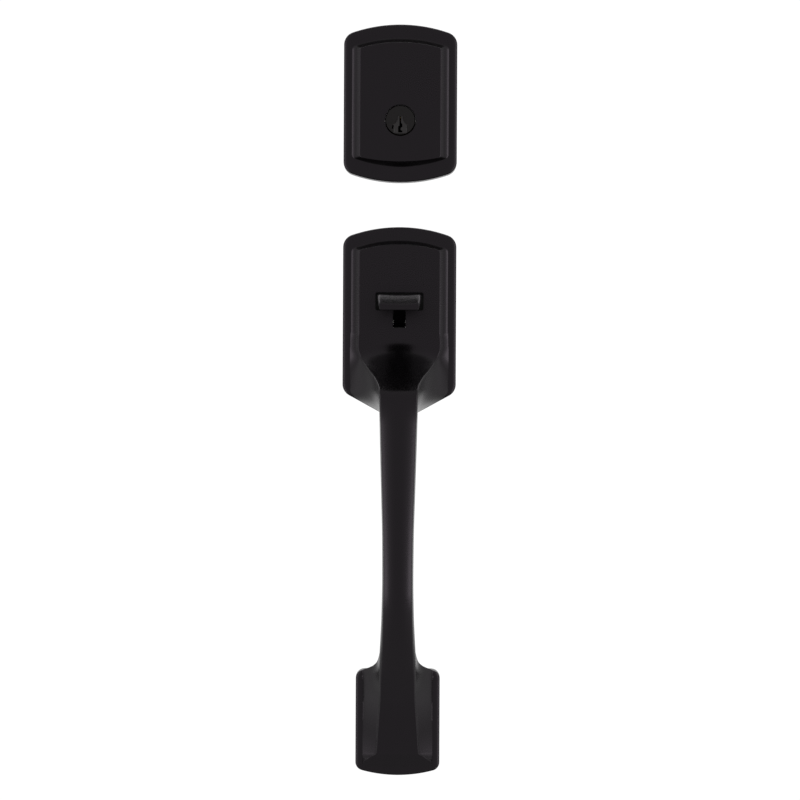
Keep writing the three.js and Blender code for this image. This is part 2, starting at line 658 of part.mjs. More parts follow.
// Half-round spindle that turns the latch, with a round journal at the front.
function spindle() {
  const { radius, front, back, flat } = SPINDLE;
  const body = barY(radius, front, back, 0, 0, 28);
  const half = box([-radius - 1, 9, flat], [radius + 1, back + 1, radius + 1]);
  const clipGroove = ringY(radius + 1, radius - 0.6, BEARING.back + 0.25, BEARING.back + 0.95);
  return cut(body, half, clipGroove);
}

// The arm that the thumbpiece lifts: an upright from the hub, then a nose out to the right.
function liftLever() {
  const { front, back, hubBack } = LEVER;
  const arm = plate([
    [-2.4, 0], [2.4, 0], [2.4, 8.8], [10, 8.8], [10.6, 12.2], [-1, 12.4], [-2.4, 11],
  ], front, back);
  const nose = barY(1.95, front, back, 9.8, 9, 20);
  const hub = barY(5, front, hubBack, 0, 0, 28);
  return cut(join(arm, nose, hub), barY(SPINDLE.radius + 0.02, front - 1, hubBack + 1, 0, 0, 28));
}

function spindleClip() {
  const y0 = BEARING.back + 0.4;
  const clip = ringY(5.6, SPINDLE.radius - 0.5, y0, y0 + 0.4);
  return cut(clip, box([-2.6, y0 - 1, -7], [2.6, y0 + 1, -1]));
}

// Torsion spring that turns the spindle back, wound round it behind the lever.
function spindleSpring() {
  return coilSpring(5.6, 0.45, 5, 3.5, 10, 5).rotateX(-Math.PI / 2).translate(0, LEVER.hubBack + 0.6, 0);
}

// The steel plate behind the escutcheon, with a window for the latch.
function handlePlate() {
  const { left, right, bottom, top } = LATCH_WINDOW;
  const earX = POST.spacing / 2;
  const body = box([-22.4, -3, -19], [22.4, -1.4, 55]);
  const window = box([left, -4, bottom], [right, 0, top]);
  const holes = [-1, 1].map((side) => barY(POST.stub + 0.2, -4, 0, side * earX, 0, 20));
  const screws = PLATE_SCREWS.map(([x, z]) => barY(1.8, -4, 0, x, z, 14));
  return cut(body, window, ...holes, ...screws);
}

// A pan-head screw pointing out of the door, seated at depth y.
function screw(length, y, radius = 1.5) {
  const head = radius * 1.8;
  const body = turnedY([
    [0, y - length], [radius * 0.6, y - length], [radius, y - length + 0.8], [radius, y],
    [head, y], [head, y + 1], [head * 0.8, y + 1.5], [0, y + 1.6],
  ], 0, 0, 12);
  const cross = [[1.5, 0.35], [0.35, 1.5]].map(([x, z]) => box([-x, y + 0.8, -z], [x, y + 2, z]));
  return cut(body, ...cross);
}

// The threaded post that the lower through-bolt screws into.
function footPost() {
  const body = turnedY([
    [0, -8], [4, -8], [4, -1.5], [5, -1.5], [5, 0], [4, 0], [4, 18.5], [3.5, 19], [0, 19],
  ], 0, 0, 24);
  return cut(body, barY(2.1, 1, 20, 0, 0, 14));
}

// ---------------------------------------------------------------- the assembly
function mesh(name, geometry, surface, x = 0, y = 0, z = 0) {
  const made = new THREE.Mesh(geometry, surface);
  made.name = name;
  made.position.set(x, y, z);
  return made;
}

function deadboltTrim() {
  const trim = new THREE.Group();
  trim.add(
    mesh("deadbolt_rose", deadboltRose(), MATTE_BLACK),
    mesh("deadbolt_gasket", rimSeal(roseOutline), RUBBER),
    mesh("deadbolt_plate", deadboltPlate(), STEEL),
    mesh("bore_adapter", ringY(26.6, 22.5, -0.2, 6), NYLON, 0, 0, BORE_SPACING),
  );
  return trim;
}

function deadboltCylinder() {
  const cylinder = new THREE.Group();
  cylinder.position.z = BORE_SPACING;
  const earX = POST.spacing / 2;
  const post = mountingPost(-6, -2);
  cylinder.add(
    mesh("cylinder_housing", cylinderHousing(), ZINC),
    mesh("plug_face", plugFace(), DARK_STEEL),
    mesh("plug", plug(), BRASS),
    mesh("plug_clip", plugClip(), STEEL),
    mesh("deadbolt_tailpiece", tailpiece(), STEEL),
    mesh("spring_cover", springCover(), BRASS),
    mesh("deadbolt_post_left", post, STEEL, -earX),
    mesh("deadbolt_post_right", post, STEEL, earX),
  );
  for (const [side, name] of [[-1, "left"], [1, "right"]]) {
    const guard = barY(1, HOUSING.front + 0.1, HOUSING.front + 6.5, 0, 0, 12);
    cylinder.add(mesh(`drill_guard_${name}`, guard, STEEL, side * 10.2));
  }
  for (let n = 0; n < PIN.count; n++) {
    const shearZ = PLUG.radius;
    const springZ = shearZ + RUNNING_GAP + DRIVER_LENGTH + 0.2;
    const spring = coilSpring(1.05, 0.22, HOUSING.bibleTop - springZ - 0.1, 4);
    cylinder.add(
      mesh(`key_pin_${n + 1}`, keyPin(KEY_PIN_LENGTHS[n]), BRASS, 0, pinY(n), shearZ - 0.1),
      mesh(`driver_pin_${n + 1}`, driverPin(), STEEL, 0, pinY(n), shearZ + RUNNING_GAP),
      mesh(`pin_spring_${n + 1}`, spring, STEEL, 0, pinY(n), springZ),
    );
  }
  return cylinder;
}

function thumbLatch() {
  const latch = new THREE.Group();
  latch.add(
    mesh("thumbpiece", thumbpiece(), MATTE_BLACK),
    mesh("thumb_bracket", thumbBracket(), BLACK_STEEL),
    mesh("thumb_pin", thumbPin(), STEEL),
    mesh("thumb_spring", thumbSpring(), STEEL),
    mesh("latch_spindle", spindle(), STEEL),
    mesh("lift_lever", liftLever(), STEEL),
    mesh("spindle_clip", spindleClip(), STEEL),
    mesh("spindle_spring", spindleSpring(), STEEL),
    mesh("spindle_bushing", ringY(BEARING.inner, SPINDLE.radius + 0.1, -11.2, -6), NYLON),
  );
  BRACKET_SCREWS.forEach(([x, z], n) => {
    const seat = -PANEL_DEPTH + WALL + 1.5;
    latch.add(mesh(`bracket_screw_${n + 1}`, screw(2.6, seat, 1.3), STEEL, x, 0, z));
  });
  return latch;
}

function handleTrim() {
  const trim = new THREE.Group();
  const earX = POST.spacing / 2;
  const post = mountingPost(-4.4, -1.4);
  trim.add(
    mesh("handle_casting", handleCasting(), MATTE_BLACK),
    mesh("handle_gasket", handleSeal(), RUBBER),
    mesh("foot_gasket", rimSeal(footOutline), RUBBER),
    mesh("handle_plate", handlePlate(), BLACK_STEEL),
    mesh("handle_post_left", post, STEEL, -earX),
    mesh("handle_post_right", post, STEEL, earX),
    mesh("foot_post", footPost(), STEEL, 0, 0, FOOT_POST_Z),
  );
  PLATE_SCREWS.forEach(([x, z], n) => {
    trim.add(mesh(`plate_screw_${n + 1}`, screw(5.4, -1.4), STEEL, x, 0, z));
  });
  return trim;
}

const handleset = new THREE.Group();
handleset.add(deadboltTrim(), deadboltCylinder(), handleTrim(), thumbLatch());

export default handleset;
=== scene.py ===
# Looks of the handleset's outside trim: fine castings, turned and stamped inner pieces, and
# procedural materials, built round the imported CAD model. Shapes are worked out in millimetres
# and made in metres. As in the CAD frame, +Z is up and the visitor's side is -Y.
import json
import math

import bmesh
import bpy
import numpy as np
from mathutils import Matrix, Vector


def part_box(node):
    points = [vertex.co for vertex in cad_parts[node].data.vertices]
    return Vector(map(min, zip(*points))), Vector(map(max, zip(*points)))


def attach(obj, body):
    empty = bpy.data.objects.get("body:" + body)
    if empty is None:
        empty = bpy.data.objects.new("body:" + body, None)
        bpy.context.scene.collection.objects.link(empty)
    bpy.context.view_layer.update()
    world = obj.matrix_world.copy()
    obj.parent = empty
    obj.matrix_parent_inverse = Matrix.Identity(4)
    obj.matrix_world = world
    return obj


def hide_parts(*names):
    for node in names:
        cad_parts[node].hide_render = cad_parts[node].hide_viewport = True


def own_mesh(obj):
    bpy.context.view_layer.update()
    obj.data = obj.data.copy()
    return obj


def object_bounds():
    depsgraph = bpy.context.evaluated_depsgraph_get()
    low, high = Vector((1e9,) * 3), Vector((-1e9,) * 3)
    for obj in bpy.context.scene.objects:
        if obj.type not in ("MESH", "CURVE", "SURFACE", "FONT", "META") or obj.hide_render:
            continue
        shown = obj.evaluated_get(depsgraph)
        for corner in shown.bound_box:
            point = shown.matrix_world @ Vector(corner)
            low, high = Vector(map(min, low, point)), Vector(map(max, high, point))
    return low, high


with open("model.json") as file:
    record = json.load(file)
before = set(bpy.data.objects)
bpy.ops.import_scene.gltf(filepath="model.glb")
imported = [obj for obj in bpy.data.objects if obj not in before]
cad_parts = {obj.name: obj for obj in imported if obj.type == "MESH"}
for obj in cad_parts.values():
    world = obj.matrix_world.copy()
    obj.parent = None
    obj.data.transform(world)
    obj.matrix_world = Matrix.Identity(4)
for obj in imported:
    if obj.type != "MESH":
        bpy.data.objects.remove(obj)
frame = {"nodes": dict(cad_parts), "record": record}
cad_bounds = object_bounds()

MM = 0.001
NODES = frame["nodes"]
JOINTS = {joint["name"]: joint for joint in frame["record"]["behaviour"]["joints"]}


def box_mm(node):
    """A CAD node's lowest and highest corners, in millimetres."""
    low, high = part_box(node)
    return np.array(low) / MM, np.array(high) / MM


# ------------------------------------------------------------------ mesh making
def new_object(name, points, faces):
    """An object from points in millimetres, with its faces turned outwards."""
    mesh = bpy.data.meshes.new(name)
    mesh.from_pydata([tuple(p) for p in np.asarray(points, float) * MM], [], faces)
    work = bmesh.new()
    work.from_mesh(mesh)
    bmesh.ops.remove_doubles(work, verts=work.verts, dist=1e-7)
    bmesh.ops.recalc_face_normals(work, faces=work.faces)
    work.to_mesh(mesh)
    work.free()
    made = bpy.data.objects.new(name, mesh)
    bpy.context.scene.collection.objects.link(made)
    return made


def skin(rings, closed=True):
    """Points and faces over rings of equal count; closed ends are single faces."""
    count = len(rings[0])
    faces = []
    for r in range(len(rings) - 1):
        for i in range(count):
            a, b = r * count + i, r * count + (i + 1) % count
            faces.append((a, b, b + count, a + count))
    if closed:
        faces.append(tuple(range(count))[::-1])
        faces.append(tuple(range((len(rings) - 1) * count, len(rings) * count)))
    return np.concatenate([np.asarray(ring, float) for ring in rings]), faces


def loft(name, rings):
    """A closed solid whose skin runs through the rings in turn."""
    return new_object(name, *skin(rings))


def lathe(name, profile, centre=(0, 0, 0), axis="Y", segments=64):
    """A solid turned about an axis: profile is [radius, along], open at neither end."""
    turn = np.linspace(0, 2 * math.pi, segments, endpoint=False)
    rings = []
    for radius, along in profile:
        across = radius * np.cos(turn), radius * np.sin(turn)
        flat = np.full(segments, float(along))
        order = {"X": (flat, *across), "Y": (across[0], flat, across[1]), "Z": (*across, flat)}
        rings.append(np.stack(order[axis], axis=1) + np.asarray(centre, float))
    return loft(name, rings)


def block(name, low, high):
    """A plain box, for cutting with or as a stock that is cut and bevelled."""
    corners = [
        (x, y, z)
        for z in (low[2], high[2])
        for y in (low[1], high[1])
        for x in (low[0], high[0])
    ]
    faces = [(0, 1, 3, 2), (4, 6, 7, 5), (0, 4, 5, 1), (2, 3, 7, 6), (0, 2, 6, 4), (1, 5, 7, 3)]
    return new_object(name, corners, faces)


def slab(name, outline, y0, y1):
    """A flat outline of (x, z) points with thickness from y0 to y1."""
    return loft(name, [[(x, y, z) for x, z in outline] for y in (y0, y1)])


def evaluated(obj):
    """The object's mesh with its modifiers carried out."""
    bpy.context.view_layer.update()
    return bpy.data.meshes.new_from_object(obj.evaluated_get(bpy.context.evaluated_depsgraph_get()))


def settle(obj):
    """Carries out the object's modifiers for good."""
    made = evaluated(obj)
    obj.modifiers.clear()
    obj.data = made
    return obj


def combine(obj, tools, operation):
    """Joins the tools to the object, or cuts them out of it, and removes them."""
    for tool in tools:
        step = obj.modifiers.new("combine", "BOOLEAN")
        step.operation = operation
        step.solver = "EXACT"
        step.object = tool
    settle(obj)
    for tool in tools:
        bpy.data.objects.remove(tool)
    return obj


def cut(obj, *tools):
    """Cuts the tools out of the object."""
    return combine(obj, tools, "DIFFERENCE")


def join(obj, *tools):
    """Makes the object and the tools one solid."""
    return combine(obj, tools, "UNION")


def round_edges(obj, width_mm, segments=2, angle=40):
    """Breaks the sharp edges, as tumbling or a coat of powder does."""
    bevel = obj.modifiers.new("round_edges", "BEVEL")
    bevel.width = width_mm * MM
    bevel.segments = segments
    bevel.limit_method = "ANGLE"
    bevel.angle_limit = math.radians(angle)
    bevel.use_clamp_overlap = True
    bevel.harden_normals = False
    return obj


def finish_piece(obj, body, slot, replaces, sharp=35):
    """Shades a made piece, gives it its material and slot, and rides it on its body."""
    obj.data.shade_smooth()
    obj.data.set_sharp_from_angle(angle=math.radians(sharp))
    weigh = obj.modifiers.new("face_weighted_normals", "WEIGHTED_NORMAL")
    weigh.keep_sharp = True
    weigh.weight = 80
    obj.data.materials.clear()
    obj.data.materials.append(MATERIALS[slot])
    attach(obj, body)
    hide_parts(*replaces)
    return obj


# ------------------------------------------------------------------ curves
def curve_through(points):
    """A smooth function through (z, value) points, z falling, with no overshoot between them."""
    z, value = np.array(points, float).T
    slope = np.diff(value) / np.diff(z)
    tangent = np.empty(len(z))
    tangent[0], tangent[-1] = slope[0], slope[-1]
    for i in range(1, len(z) - 1):
        same_way = slope[i - 1] * slope[i] > 0
        tangent[i] = 2 * slope[i - 1] * slope[i] / (slope[i - 1] + slope[i]) if same_way else 0

    def at(height):
        if height >= z[0]:
            return value[0]
        if height <= z[-1]:
            return value[-1]
        i = int(np.searchsorted(-z, -height, side="right")) - 1
        span = z[i + 1] - z[i]
        t = (height - z[i]) / span
        return (
            (2 * t**3 - 3 * t**2 + 1) * value[i]
            + (t**3 - 2 * t**2 + t) * span * tangent[i]
            + (3 * t**2 - 2 * t**3) * value[i + 1]
            + (t**3 - t**2) * span * tangent[i + 1]
        )

    return at


def bend(start, corner, end, steps):
    """Points along a rounded corner, from start to end, first point left out."""
    t = np.linspace(0, 1, steps + 1)[1:, None]
    start, corner, end = map(np.asarray, (start, corner, end))
    return ((1 - t) ** 2 * start + 2 * t * (1 - t) * corner + t**2 * end).tolist()


def arched_half(half, arc, corner, arc_steps=24, corner_steps=10):
    """Right half of an arched edge as (x, drop), from its crown to the straight side."""
    fillet_x = half - corner
    fillet_z = -arc + math.sqrt((arc - corner) ** 2 - fillet_x**2)
    lean = math.atan2(fillet_x, fillet_z + arc)
    crown = [
        (arc * math.sin(a), arc * math.cos(a) - arc)
        for a in np.linspace(0, lean, arc_steps + 1)[:-1]
    ]
    turn = [
        (fillet_x + corner * math.sin(a), fillet_z + corner * math.cos(a))
        for a in np.linspace(lean, math.pi / 2, corner_steps + 1)
    ]
    return np.array(crown + turn)


def closed_outline(upper, lower):
    """A closed outline from its upper and lower right halves, each listed centre to side."""
    mirror = np.array([-1, 1])
    return np.concatenate([upper, lower[::-1], lower[1:] * mirror, upper[1:][::-1] * mirror])


def crowned(top, half, arc, corner):
    """Upper right half of an outline whose top edge is arched upwards."""
    return arched_half(half, arc, corner) * [1, 1] + [0, top]


def cupped(bottom, half, arc, corner):
    """Lower right half of an outline whose bottom edge is arched downwards."""
    return arched_half(half, arc, corner) * [1, -1] + [0, bottom]


def raised(outline, depth):
    """An outline lifted out of the door by a depth, as points in space."""
    return np.stack([outline[:, 0], np.full(len(outline), -float(depth)), outline[:, 1]], axis=1)


# ------------------------------------------------------------------ stage
CAMERA_DISTANCE = 1.4
CAMERA_SIDE = 0.0085
CAMERA_AIM = 0.0006
CAMERA_ROLL = math.radians(-0.27)
VIEW_HEIGHT = -0.0322
FRAME_HEIGHT = 0.494
FACE_DEPTH = -0.008
FLOOR_DROP = 0.30
FLOOR_HALF = 1.2
SEEN_WHITE = 1.05


def make_camera():
    """A long lens, square on to the trim."""
    lens = bpy.data.cameras.new("camera")
    lens.sensor_width = 36
    lens.angle = 2 * math.atan(FRAME_HEIGHT / 2 / CAMERA_DISTANCE)
    camera = bpy.data.objects.new("camera", lens)
    camera.location = (CAMERA_SIDE, FACE_DEPTH - CAMERA_DISTANCE, VIEW_HEIGHT)
    turn = math.atan((CAMERA_SIDE - CAMERA_AIM) / CAMERA_DISTANCE)
    camera.rotation_euler = (math.pi / 2, CAMERA_ROLL, turn)
    bpy.context.scene.collection.objects.link(camera)
    bpy.context.scene.camera = camera


def softbox(name, place, target, width, height, radiance):
    """A soft rectangular light of an even radiance, turned towards a target."""
    lamp = bpy.data.lights.new(name, "AREA")
    lamp.shape = "RECTANGLE"
    lamp.size = width
    lamp.size_y = height
    lamp.energy = radiance * math.pi * width * height
    light = bpy.data.objects.new(name, lamp)
    light.location = place
    light.rotation_euler = (Vector(target) - Vector(place)).to_track_quat("-Z", "Y").to_euler()
    light.visible_camera = False
    bpy.context.scene.collection.objects.link(light)


def make_lights():
    """Two tall softboxes, ahead of the trim to its left and right."""
    middle = (0, 0, VIEW_HEIGHT)
    softbox("left_softbox", (-1.15, -0.8, VIEW_HEIGHT), middle, 0.55, 1.6, 1.2)
    softbox("right_softbox", (1.15, -0.8, VIEW_HEIGHT), middle, 0.55, 1.6, 1.5)


class Wiring:
    """A node tree with short ways to add nodes and wire them up."""

    def __init__(self, tree):
        self.nodes, self.links = tree.nodes, tree.links

    def feed(self, node, inputs):
        """Sets each of a node's inputs to a value, or links it to another node's output."""
        for socket, value in inputs.items():
            if isinstance(value, bpy.types.NodeSocket):
                self.links.new(value, node.inputs[socket])
            else:
                node.inputs[socket].default_value = value
        return node

    def add(self, kind, inputs):
        """A new node of a kind, with its inputs fed."""
        return self.feed(self.nodes.new("ShaderNode" + kind), inputs)

    def ramp(self, value, start, end, low=0.0, high=1.0):
        """A node that runs from low to high as a value goes from start to end."""
        limits = {"From Min": start, "From Max": end, "To Min": low, "To Max": high}
        return self.add("MapRange", {"Value": value, **limits})

    def fold(self, operation, first, second):
        """Two values made one by a sum, product or the like."""
        node = self.add("Math", {0: first, 1: second})
        node.operation = operation
        return node.outputs["Value"]


class TentLight(Wiring):
    """Radiance of a light tent as a function of direction, built of smooth steps."""

    def __init__(self, tree):
        super().__init__(tree)
        direction = self.add("TexCoord", {}).outputs["Generated"]
        self.toward = self.add("SeparateXYZ", {"Vector": direction}).outputs

    def step(self, axis, start, end, level=1.0):
        """Rises smoothly from 0 to a level as a direction's share along an axis goes start to end."""
        node = self.ramp(self.toward[axis], start, end, 0.0, level)
        node.interpolation_type = "SMOOTHSTEP"
        return node.outputs["Result"]


def make_world():
    """A light tent: an even front and top, a bright wall behind, and dark behind and below.
    The camera itself sees plain white."""
    world = bpy.data.worlds.new("world")
    bpy.context.scene.world = world
    world.use_nodes = True
    world.node_tree.nodes.clear()
    tent = TentLight(world.node_tree)
    front = tent.step("Y", 0.15, -0.25, 0.46)
    top = tent.step("Z", 0.45, 0.8, 0.44)
    above_floor = tent.step("Z", -0.85, -0.55)
    above = tent.fold("MULTIPLY", tent.step("Z", 0.45, 0.8, 2.3), tent.step("Y", 0.15, 0.45))
    wall = tent.fold("MAXIMUM", tent.step("Y", 0, 0.3, 0.4), tent.step("Y", 0.72, 1, 1.1))
    wall = tent.fold("MAXIMUM", wall, above)
    wall = tent.fold("MULTIPLY", wall, above_floor)
    sides = tent.fold("ADD", tent.step("X", -0.25, -0.9, 0.34), tent.step("X", 0.25, 0.9, 0.32))
    sides = tent.fold("MULTIPLY", sides, tent.step("Y", 0.6, 0.25))
    sides = tent.fold("MULTIPLY", sides, above_floor)
    level = tent.fold("ADD", tent.fold("MAXIMUM", tent.fold("MAXIMUM", front, top), wall), sides)
    lit = tent.add("Background", {"Strength": level}).outputs["Background"]
    white = {"Color": (1, 1, 1, 1), "Strength": SEEN_WHITE}
    seen = tent.add("Background", white).outputs["Background"]
    by_camera = tent.add("LightPath", {}).outputs["Is Camera Ray"]
    mix = tent.add("MixShader", {"Fac": by_camera, 1: lit, 2: seen})
    tent.add("OutputWorld", {"Surface": mix.outputs["Shader"]})


def make_floor():
    """A pale floor well below the trim, which lights and mirrors nothing."""
    bottom = cad_bounds[0][2] - FLOOR_DROP
    low = (-FLOOR_HALF / MM, -FLOOR_HALF / MM, bottom / MM - 10)
    high = (FLOOR_HALF / MM, FLOOR_HALF / MM, bottom / MM)
    floor = block("floor", low, high)
    floor.visible_glossy = False
    floor.visible_diffuse = False
    floor.data.materials.append(MATERIALS["pale_floor"])


# ------------------------------------------------------------------ materials
# The values that tints and glosses run between. Nearly all of a noise lies within them.
NOISE_LOW, NOISE_HIGH = 0.3, 0.7


class Surface(Wiring):
    """A Principled material with short ways to wire noise, ramps and bumps into it."""

    def __init__(self, name, colour, roughness, metallic=0.0, specular=0.5):
        self.material = bpy.data.materials.new(name)
        self.material.use_nodes = True
        super().__init__(self.material.node_tree)
        self.shader = self.nodes["Principled BSDF"]
        self.set("Base Color", (*colour, 1))
        self.set("Roughness", roughness)
        self.set("Metallic", metallic)
        self.set("Specular IOR Level", specular)
        self.place = self.add("TexCoord", {}).outputs["Object"]

    def set(self, socket, value):
        """Feeds one of the shader's inputs."""
        self.feed(self.shader, {socket: value})

    def stretched(self, scale):
        """Object coordinates, in metres, stretched by a factor along each axis."""
        return self.add("Mapping", {"Vector": self.place, "Scale": scale}).outputs["Vector"]

    def noise(self, per_metre, detail=2.0, roughness=0.5, place=None):
        """Cloudy noise with so many features to the metre."""
        grain = {"Scale": per_metre, "Detail": detail, "Roughness": roughness}
        return self.add("TexNoise", {"Vector": place or self.place, **grain}).outputs["Fac"]

    def rings(self, per_metre, axis, centre, distortion=0.6):
        """Fine turning rings about an axis through a centre."""
        shift = self.add("Mapping", {"Vector": self.place, "Location": [-c for c in centre]})
        grain = {"Scale": per_metre, "Distortion": distortion, "Detail": 2}
        node = self.add("TexWave", {"Vector": shift.outputs["Vector"], **grain})
        node.wave_type = "RINGS"
        node.rings_direction = axis
        return node.outputs["Fac"]

    def within(self, axis, start, end):
        """Rises from 0 to 1 as the object coordinate along an axis goes start to end, in metres."""
        along = self.add("SeparateXYZ", {"Vector": self.place}).outputs[axis]
        return self.ramp(along, start, end).outputs["Result"]

    def tint(self, value, dark, light):
        """Base colour running between two colours with a value."""
        node = self.add("ValToRGB", {"Fac": value})
        stops = zip(node.color_ramp.elements, (NOISE_LOW, NOISE_HIGH), (dark, light))
        for stop, position, colour in stops:
            stop.position = position
            stop.color = (*colour, 1)
        self.set("Base Color", node.outputs["Color"])

    def gloss(self, value, low, high):
        """Roughness running between two levels with a value."""
        self.set("Roughness", self.ramp(value, NOISE_LOW, NOISE_HIGH, low, high).outputs["Result"])

    def bump(self, height_mm, *values):
        """Bumps of a height in millimetres, one on top of another."""
        below = {}
        for value in values:
            node = self.add("Bump", {"Distance": height_mm * MM, "Height": value, **below})
            below = {"Normal": node.outputs["Normal"]}
        self.set("Normal", node.outputs["Normal"])


def powder_coat():
    """Satin black powder coat, with its fine orange peel."""
    coat = Surface("matte_black", (0.0011, 0.001, 0.0011), 0.27)
    coat.set("Specular Tint", (1, 0.88, 1, 1))
    peel, grain = coat.noise(700, 1.5), coat.noise(2600, 3)
    coat.tint(coat.noise(60, 3), (0.0009, 0.0008, 0.0009), (0.0013, 0.0011, 0.0013))
    coat.gloss(grain, 0.23, 0.31)
    coat.bump(0.008, peel, grain)
    return coat.material


def cylinder_face():
    """Dark plated brass with the rings left by facing it on a lathe, brighter in its lead-in."""
    front = box_mm("plug_face")[0][1] * MM
    face = Surface("cylinder_face", (0.02, 0.018, 0.018), 0.36, metallic=0.7)
    rings = face.rings(2600, "Y", (0, 0, JOINTS["key_turn"]["pos_m"][2]))
    face.gloss(rings, 0.24, 0.38)
    lead_in = face.within("Y", front + 0.1 * MM, front + 0.7 * MM)
    face.tint(lead_in, (0.026, 0.0235, 0.024), (0.06, 0.056, 0.057))
    face.bump(0.004, rings)
    return face.material


def brass():
    """Machined brass, a little tarnished."""
    metal = Surface("brass", (0.72, 0.49, 0.2), 0.3, metallic=1.0)
    metal.tint(metal.noise(180, 4), (0.56, 0.37, 0.15), (0.76, 0.54, 0.24))
    metal.gloss(metal.noise(900, 3), 0.22, 0.38)
    metal.bump(0.004, metal.noise(2200, 2, place=metal.stretched((1, 0.08, 1))))
    return metal.material


def brass_painted_shade():
    """The plug's brass, with painted shade darkening it about its keyway and behind its face."""
    metal = Surface("brass_painted_shade", (0.72, 0.49, 0.2), 0.3, metallic=1.0)
    front = box_mm("plug")[0][1] * MM
    left, right = metal.within("X", -2.2 * MM, -1.8 * MM), metal.within("X", 2.2 * MM, 1.8 * MM)
    near_front = metal.within("Y", front + 5 * MM, front + 4.5 * MM)
    # Painted shade: the brass turns near black down the keyway's middle and over the plug's front 4.5
    # mm, where shadow falls.
    painted_shade = metal.fold("MAXIMUM", metal.fold("MULTIPLY", left, right), near_front)
    metal.tint(painted_shade, (0.66, 0.46, 0.2), (0.004, 0.003, 0.002))
    metal.gloss(metal.noise(900, 3), 0.25, 0.4)
    return metal.material


def zinc():
    """Die-cast zinc, dull grey with a mottled skin."""
    metal = Surface("zinc", (0.42, 0.43, 0.45), 0.48, metallic=1.0)
    metal.tint(metal.noise(120, 5), (0.34, 0.35, 0.37), (0.47, 0.48, 0.5))
    metal.gloss(metal.noise(420, 4), 0.4, 0.58)
    metal.bump(0.012, metal.noise(900, 3))
    return metal.material


def plated_steel():
    """Stamped steel with a bright zinc plating and faint rolling lines."""
    metal = Surface("plated_steel", (0.55, 0.56, 0.6), 0.32, metallic=1.0)
    metal.tint(metal.noise(90, 3), (0.47, 0.48, 0.52), (0.6, 0.61, 0.64))
    metal.gloss(metal.noise(1400, 2, place=metal.stretched((1, 1, 0.06))), 0.25, 0.4)
    metal.bump(0.003, metal.noise(1800, 2, place=metal.stretched((1, 1, 0.05))))
    return metal.material


def black_steel():
    """Stamped steel under a thin black electrocoat."""
    coat = Surface("black_steel", (0.0045, 0.0045, 0.0048), 0.5)
    coat.tint(coat.noise(150, 3), (0.0035, 0.0035, 0.0037), (0.0055, 0.0055, 0.0058))
    coat.gloss(coat.noise(1200, 3), 0.42, 0.58)
    coat.bump(0.006, coat.noise(1500, 2))
    return coat.material


def bright_steel():
    """Ground steel, with fine marks across it."""
    metal = Surface("bright_steel", (0.6, 0.59, 0.57), 0.26, metallic=1.0)
    metal.tint(metal.noise(150, 2), (0.53, 0.52, 0.5), (0.64, 0.63, 0.61))
    metal.gloss(metal.noise(2400, 2, place=metal.stretched((0.15, 1, 0.15))), 0.2, 0.34)
    metal.bump(0.002, metal.noise(3000, 2, place=metal.stretched((0.1, 1, 0.1))))
    return metal.material


def seal_rubber():
    """Black foam rubber, open and dusty at its cut edges."""
    foam = Surface("seal_rubber", (0.012, 0.012, 0.013), 0.85, specular=0.3)
    cells = foam.noise(3200, 4, 0.7)
    foam.tint(foam.noise(300, 4), (0.009, 0.009, 0.01), (0.019, 0.019, 0.02))
    foam.gloss(cells, 0.78, 0.95)
    foam.bump(0.05, cells)
    return foam.material


def nylon():
    """Natural nylon, milky and faintly translucent."""
    resin = Surface("nylon", (0.68, 0.66, 0.6), 0.42)
    resin.set("Subsurface Weight", 0.25)
    resin.set("Subsurface Scale", 0.002)
    resin.tint(resin.noise(200, 3), (0.63, 0.61, 0.55), (0.71, 0.69, 0.64))
    resin.gloss(resin.noise(1200, 2), 0.36, 0.5)
    resin.bump(0.006, resin.noise(700, 2))
    return resin.material


def pale_floor():
    """A plain pale studio floor."""
    ground = Surface("pale_floor", (0.8, 0.8, 0.8), 0.7, specular=0.2)
    ground.tint(ground.noise(6, 2), (0.79, 0.79, 0.79), (0.81, 0.81, 0.81))
    return ground.material


MATERIALS = {
    "matte_black": powder_coat(),
    "cylinder_face": cylinder_face(),
    "brass": brass(),
    "brass_painted_shade": brass_painted_shade(),
    "zinc": zinc(),
    "plated_steel": plated_steel(),
    "black_steel": black_steel(),
    "bright_steel": bright_steel(),
    "seal_rubber": seal_rubber(),
    "nylon": nylon(),
    "pale_floor": pale_floor(),
}


# ------------------------------------------------------------------ sizes shared by the castings
GASKET, FLANGE, PANEL, WALL = 1, 10, 15, 3
HALF, FOOT_HALF, PANEL_HALF = 35, 30.2, 25.2
ROSE = {"top": 199.7, "bottom": 102.3, "arc": 91, "corner": 8}
ESCUTCHEON = {
    "top": 74.6, "point": -46.2, "arc": 91, "corner": 8, "tip": 5, "slant": math.radians(28.5),
}
FOOT = {"half": 25.95, "top": -198.3, "bottom": -263.8, "arc": 84, "corner": 5.3}
CYLINDER_Z = JOINTS["key_turn"]["pos_m"][2] / MM
FACE_RADIUS, MOUTH_RADIUS = 8.8, 9.5
# How far in and how far out of the door the border's rounded rim runs, from the door outwards.
RIM = [
    (0, 1), (0, 7.6), (0.08, 8.3), (0.3, 8.85), (0.6, 9.2), (1, 9.42), (1.8, 9.65), (2.8, 9.82),
    (4, 9.94), (5.4, 10),
]
# The bevel is a cove: share of the way from its foot to its edge, and depth out of the door.
COVE_STEPS, COVE_POWER = 14, 1.55
COVE_EDGE = [(1.02, PANEL - 0.24), (1.09, PANEL - 0.09), (1.18, PANEL - 0.02), (1.28, PANEL)]


def cove():
    """The bevel's section, from the flat border up its hollow slope and over the panel's edge."""
    shares = np.linspace(0.03, 0.97, COVE_STEPS)
    rise = PANEL - 0.45 - FLANGE
    slope = [(share, FLANGE + rise * share**COVE_POWER) for share in shares]
    return [(-0.08, FLANGE), *slope, *COVE_EDGE]


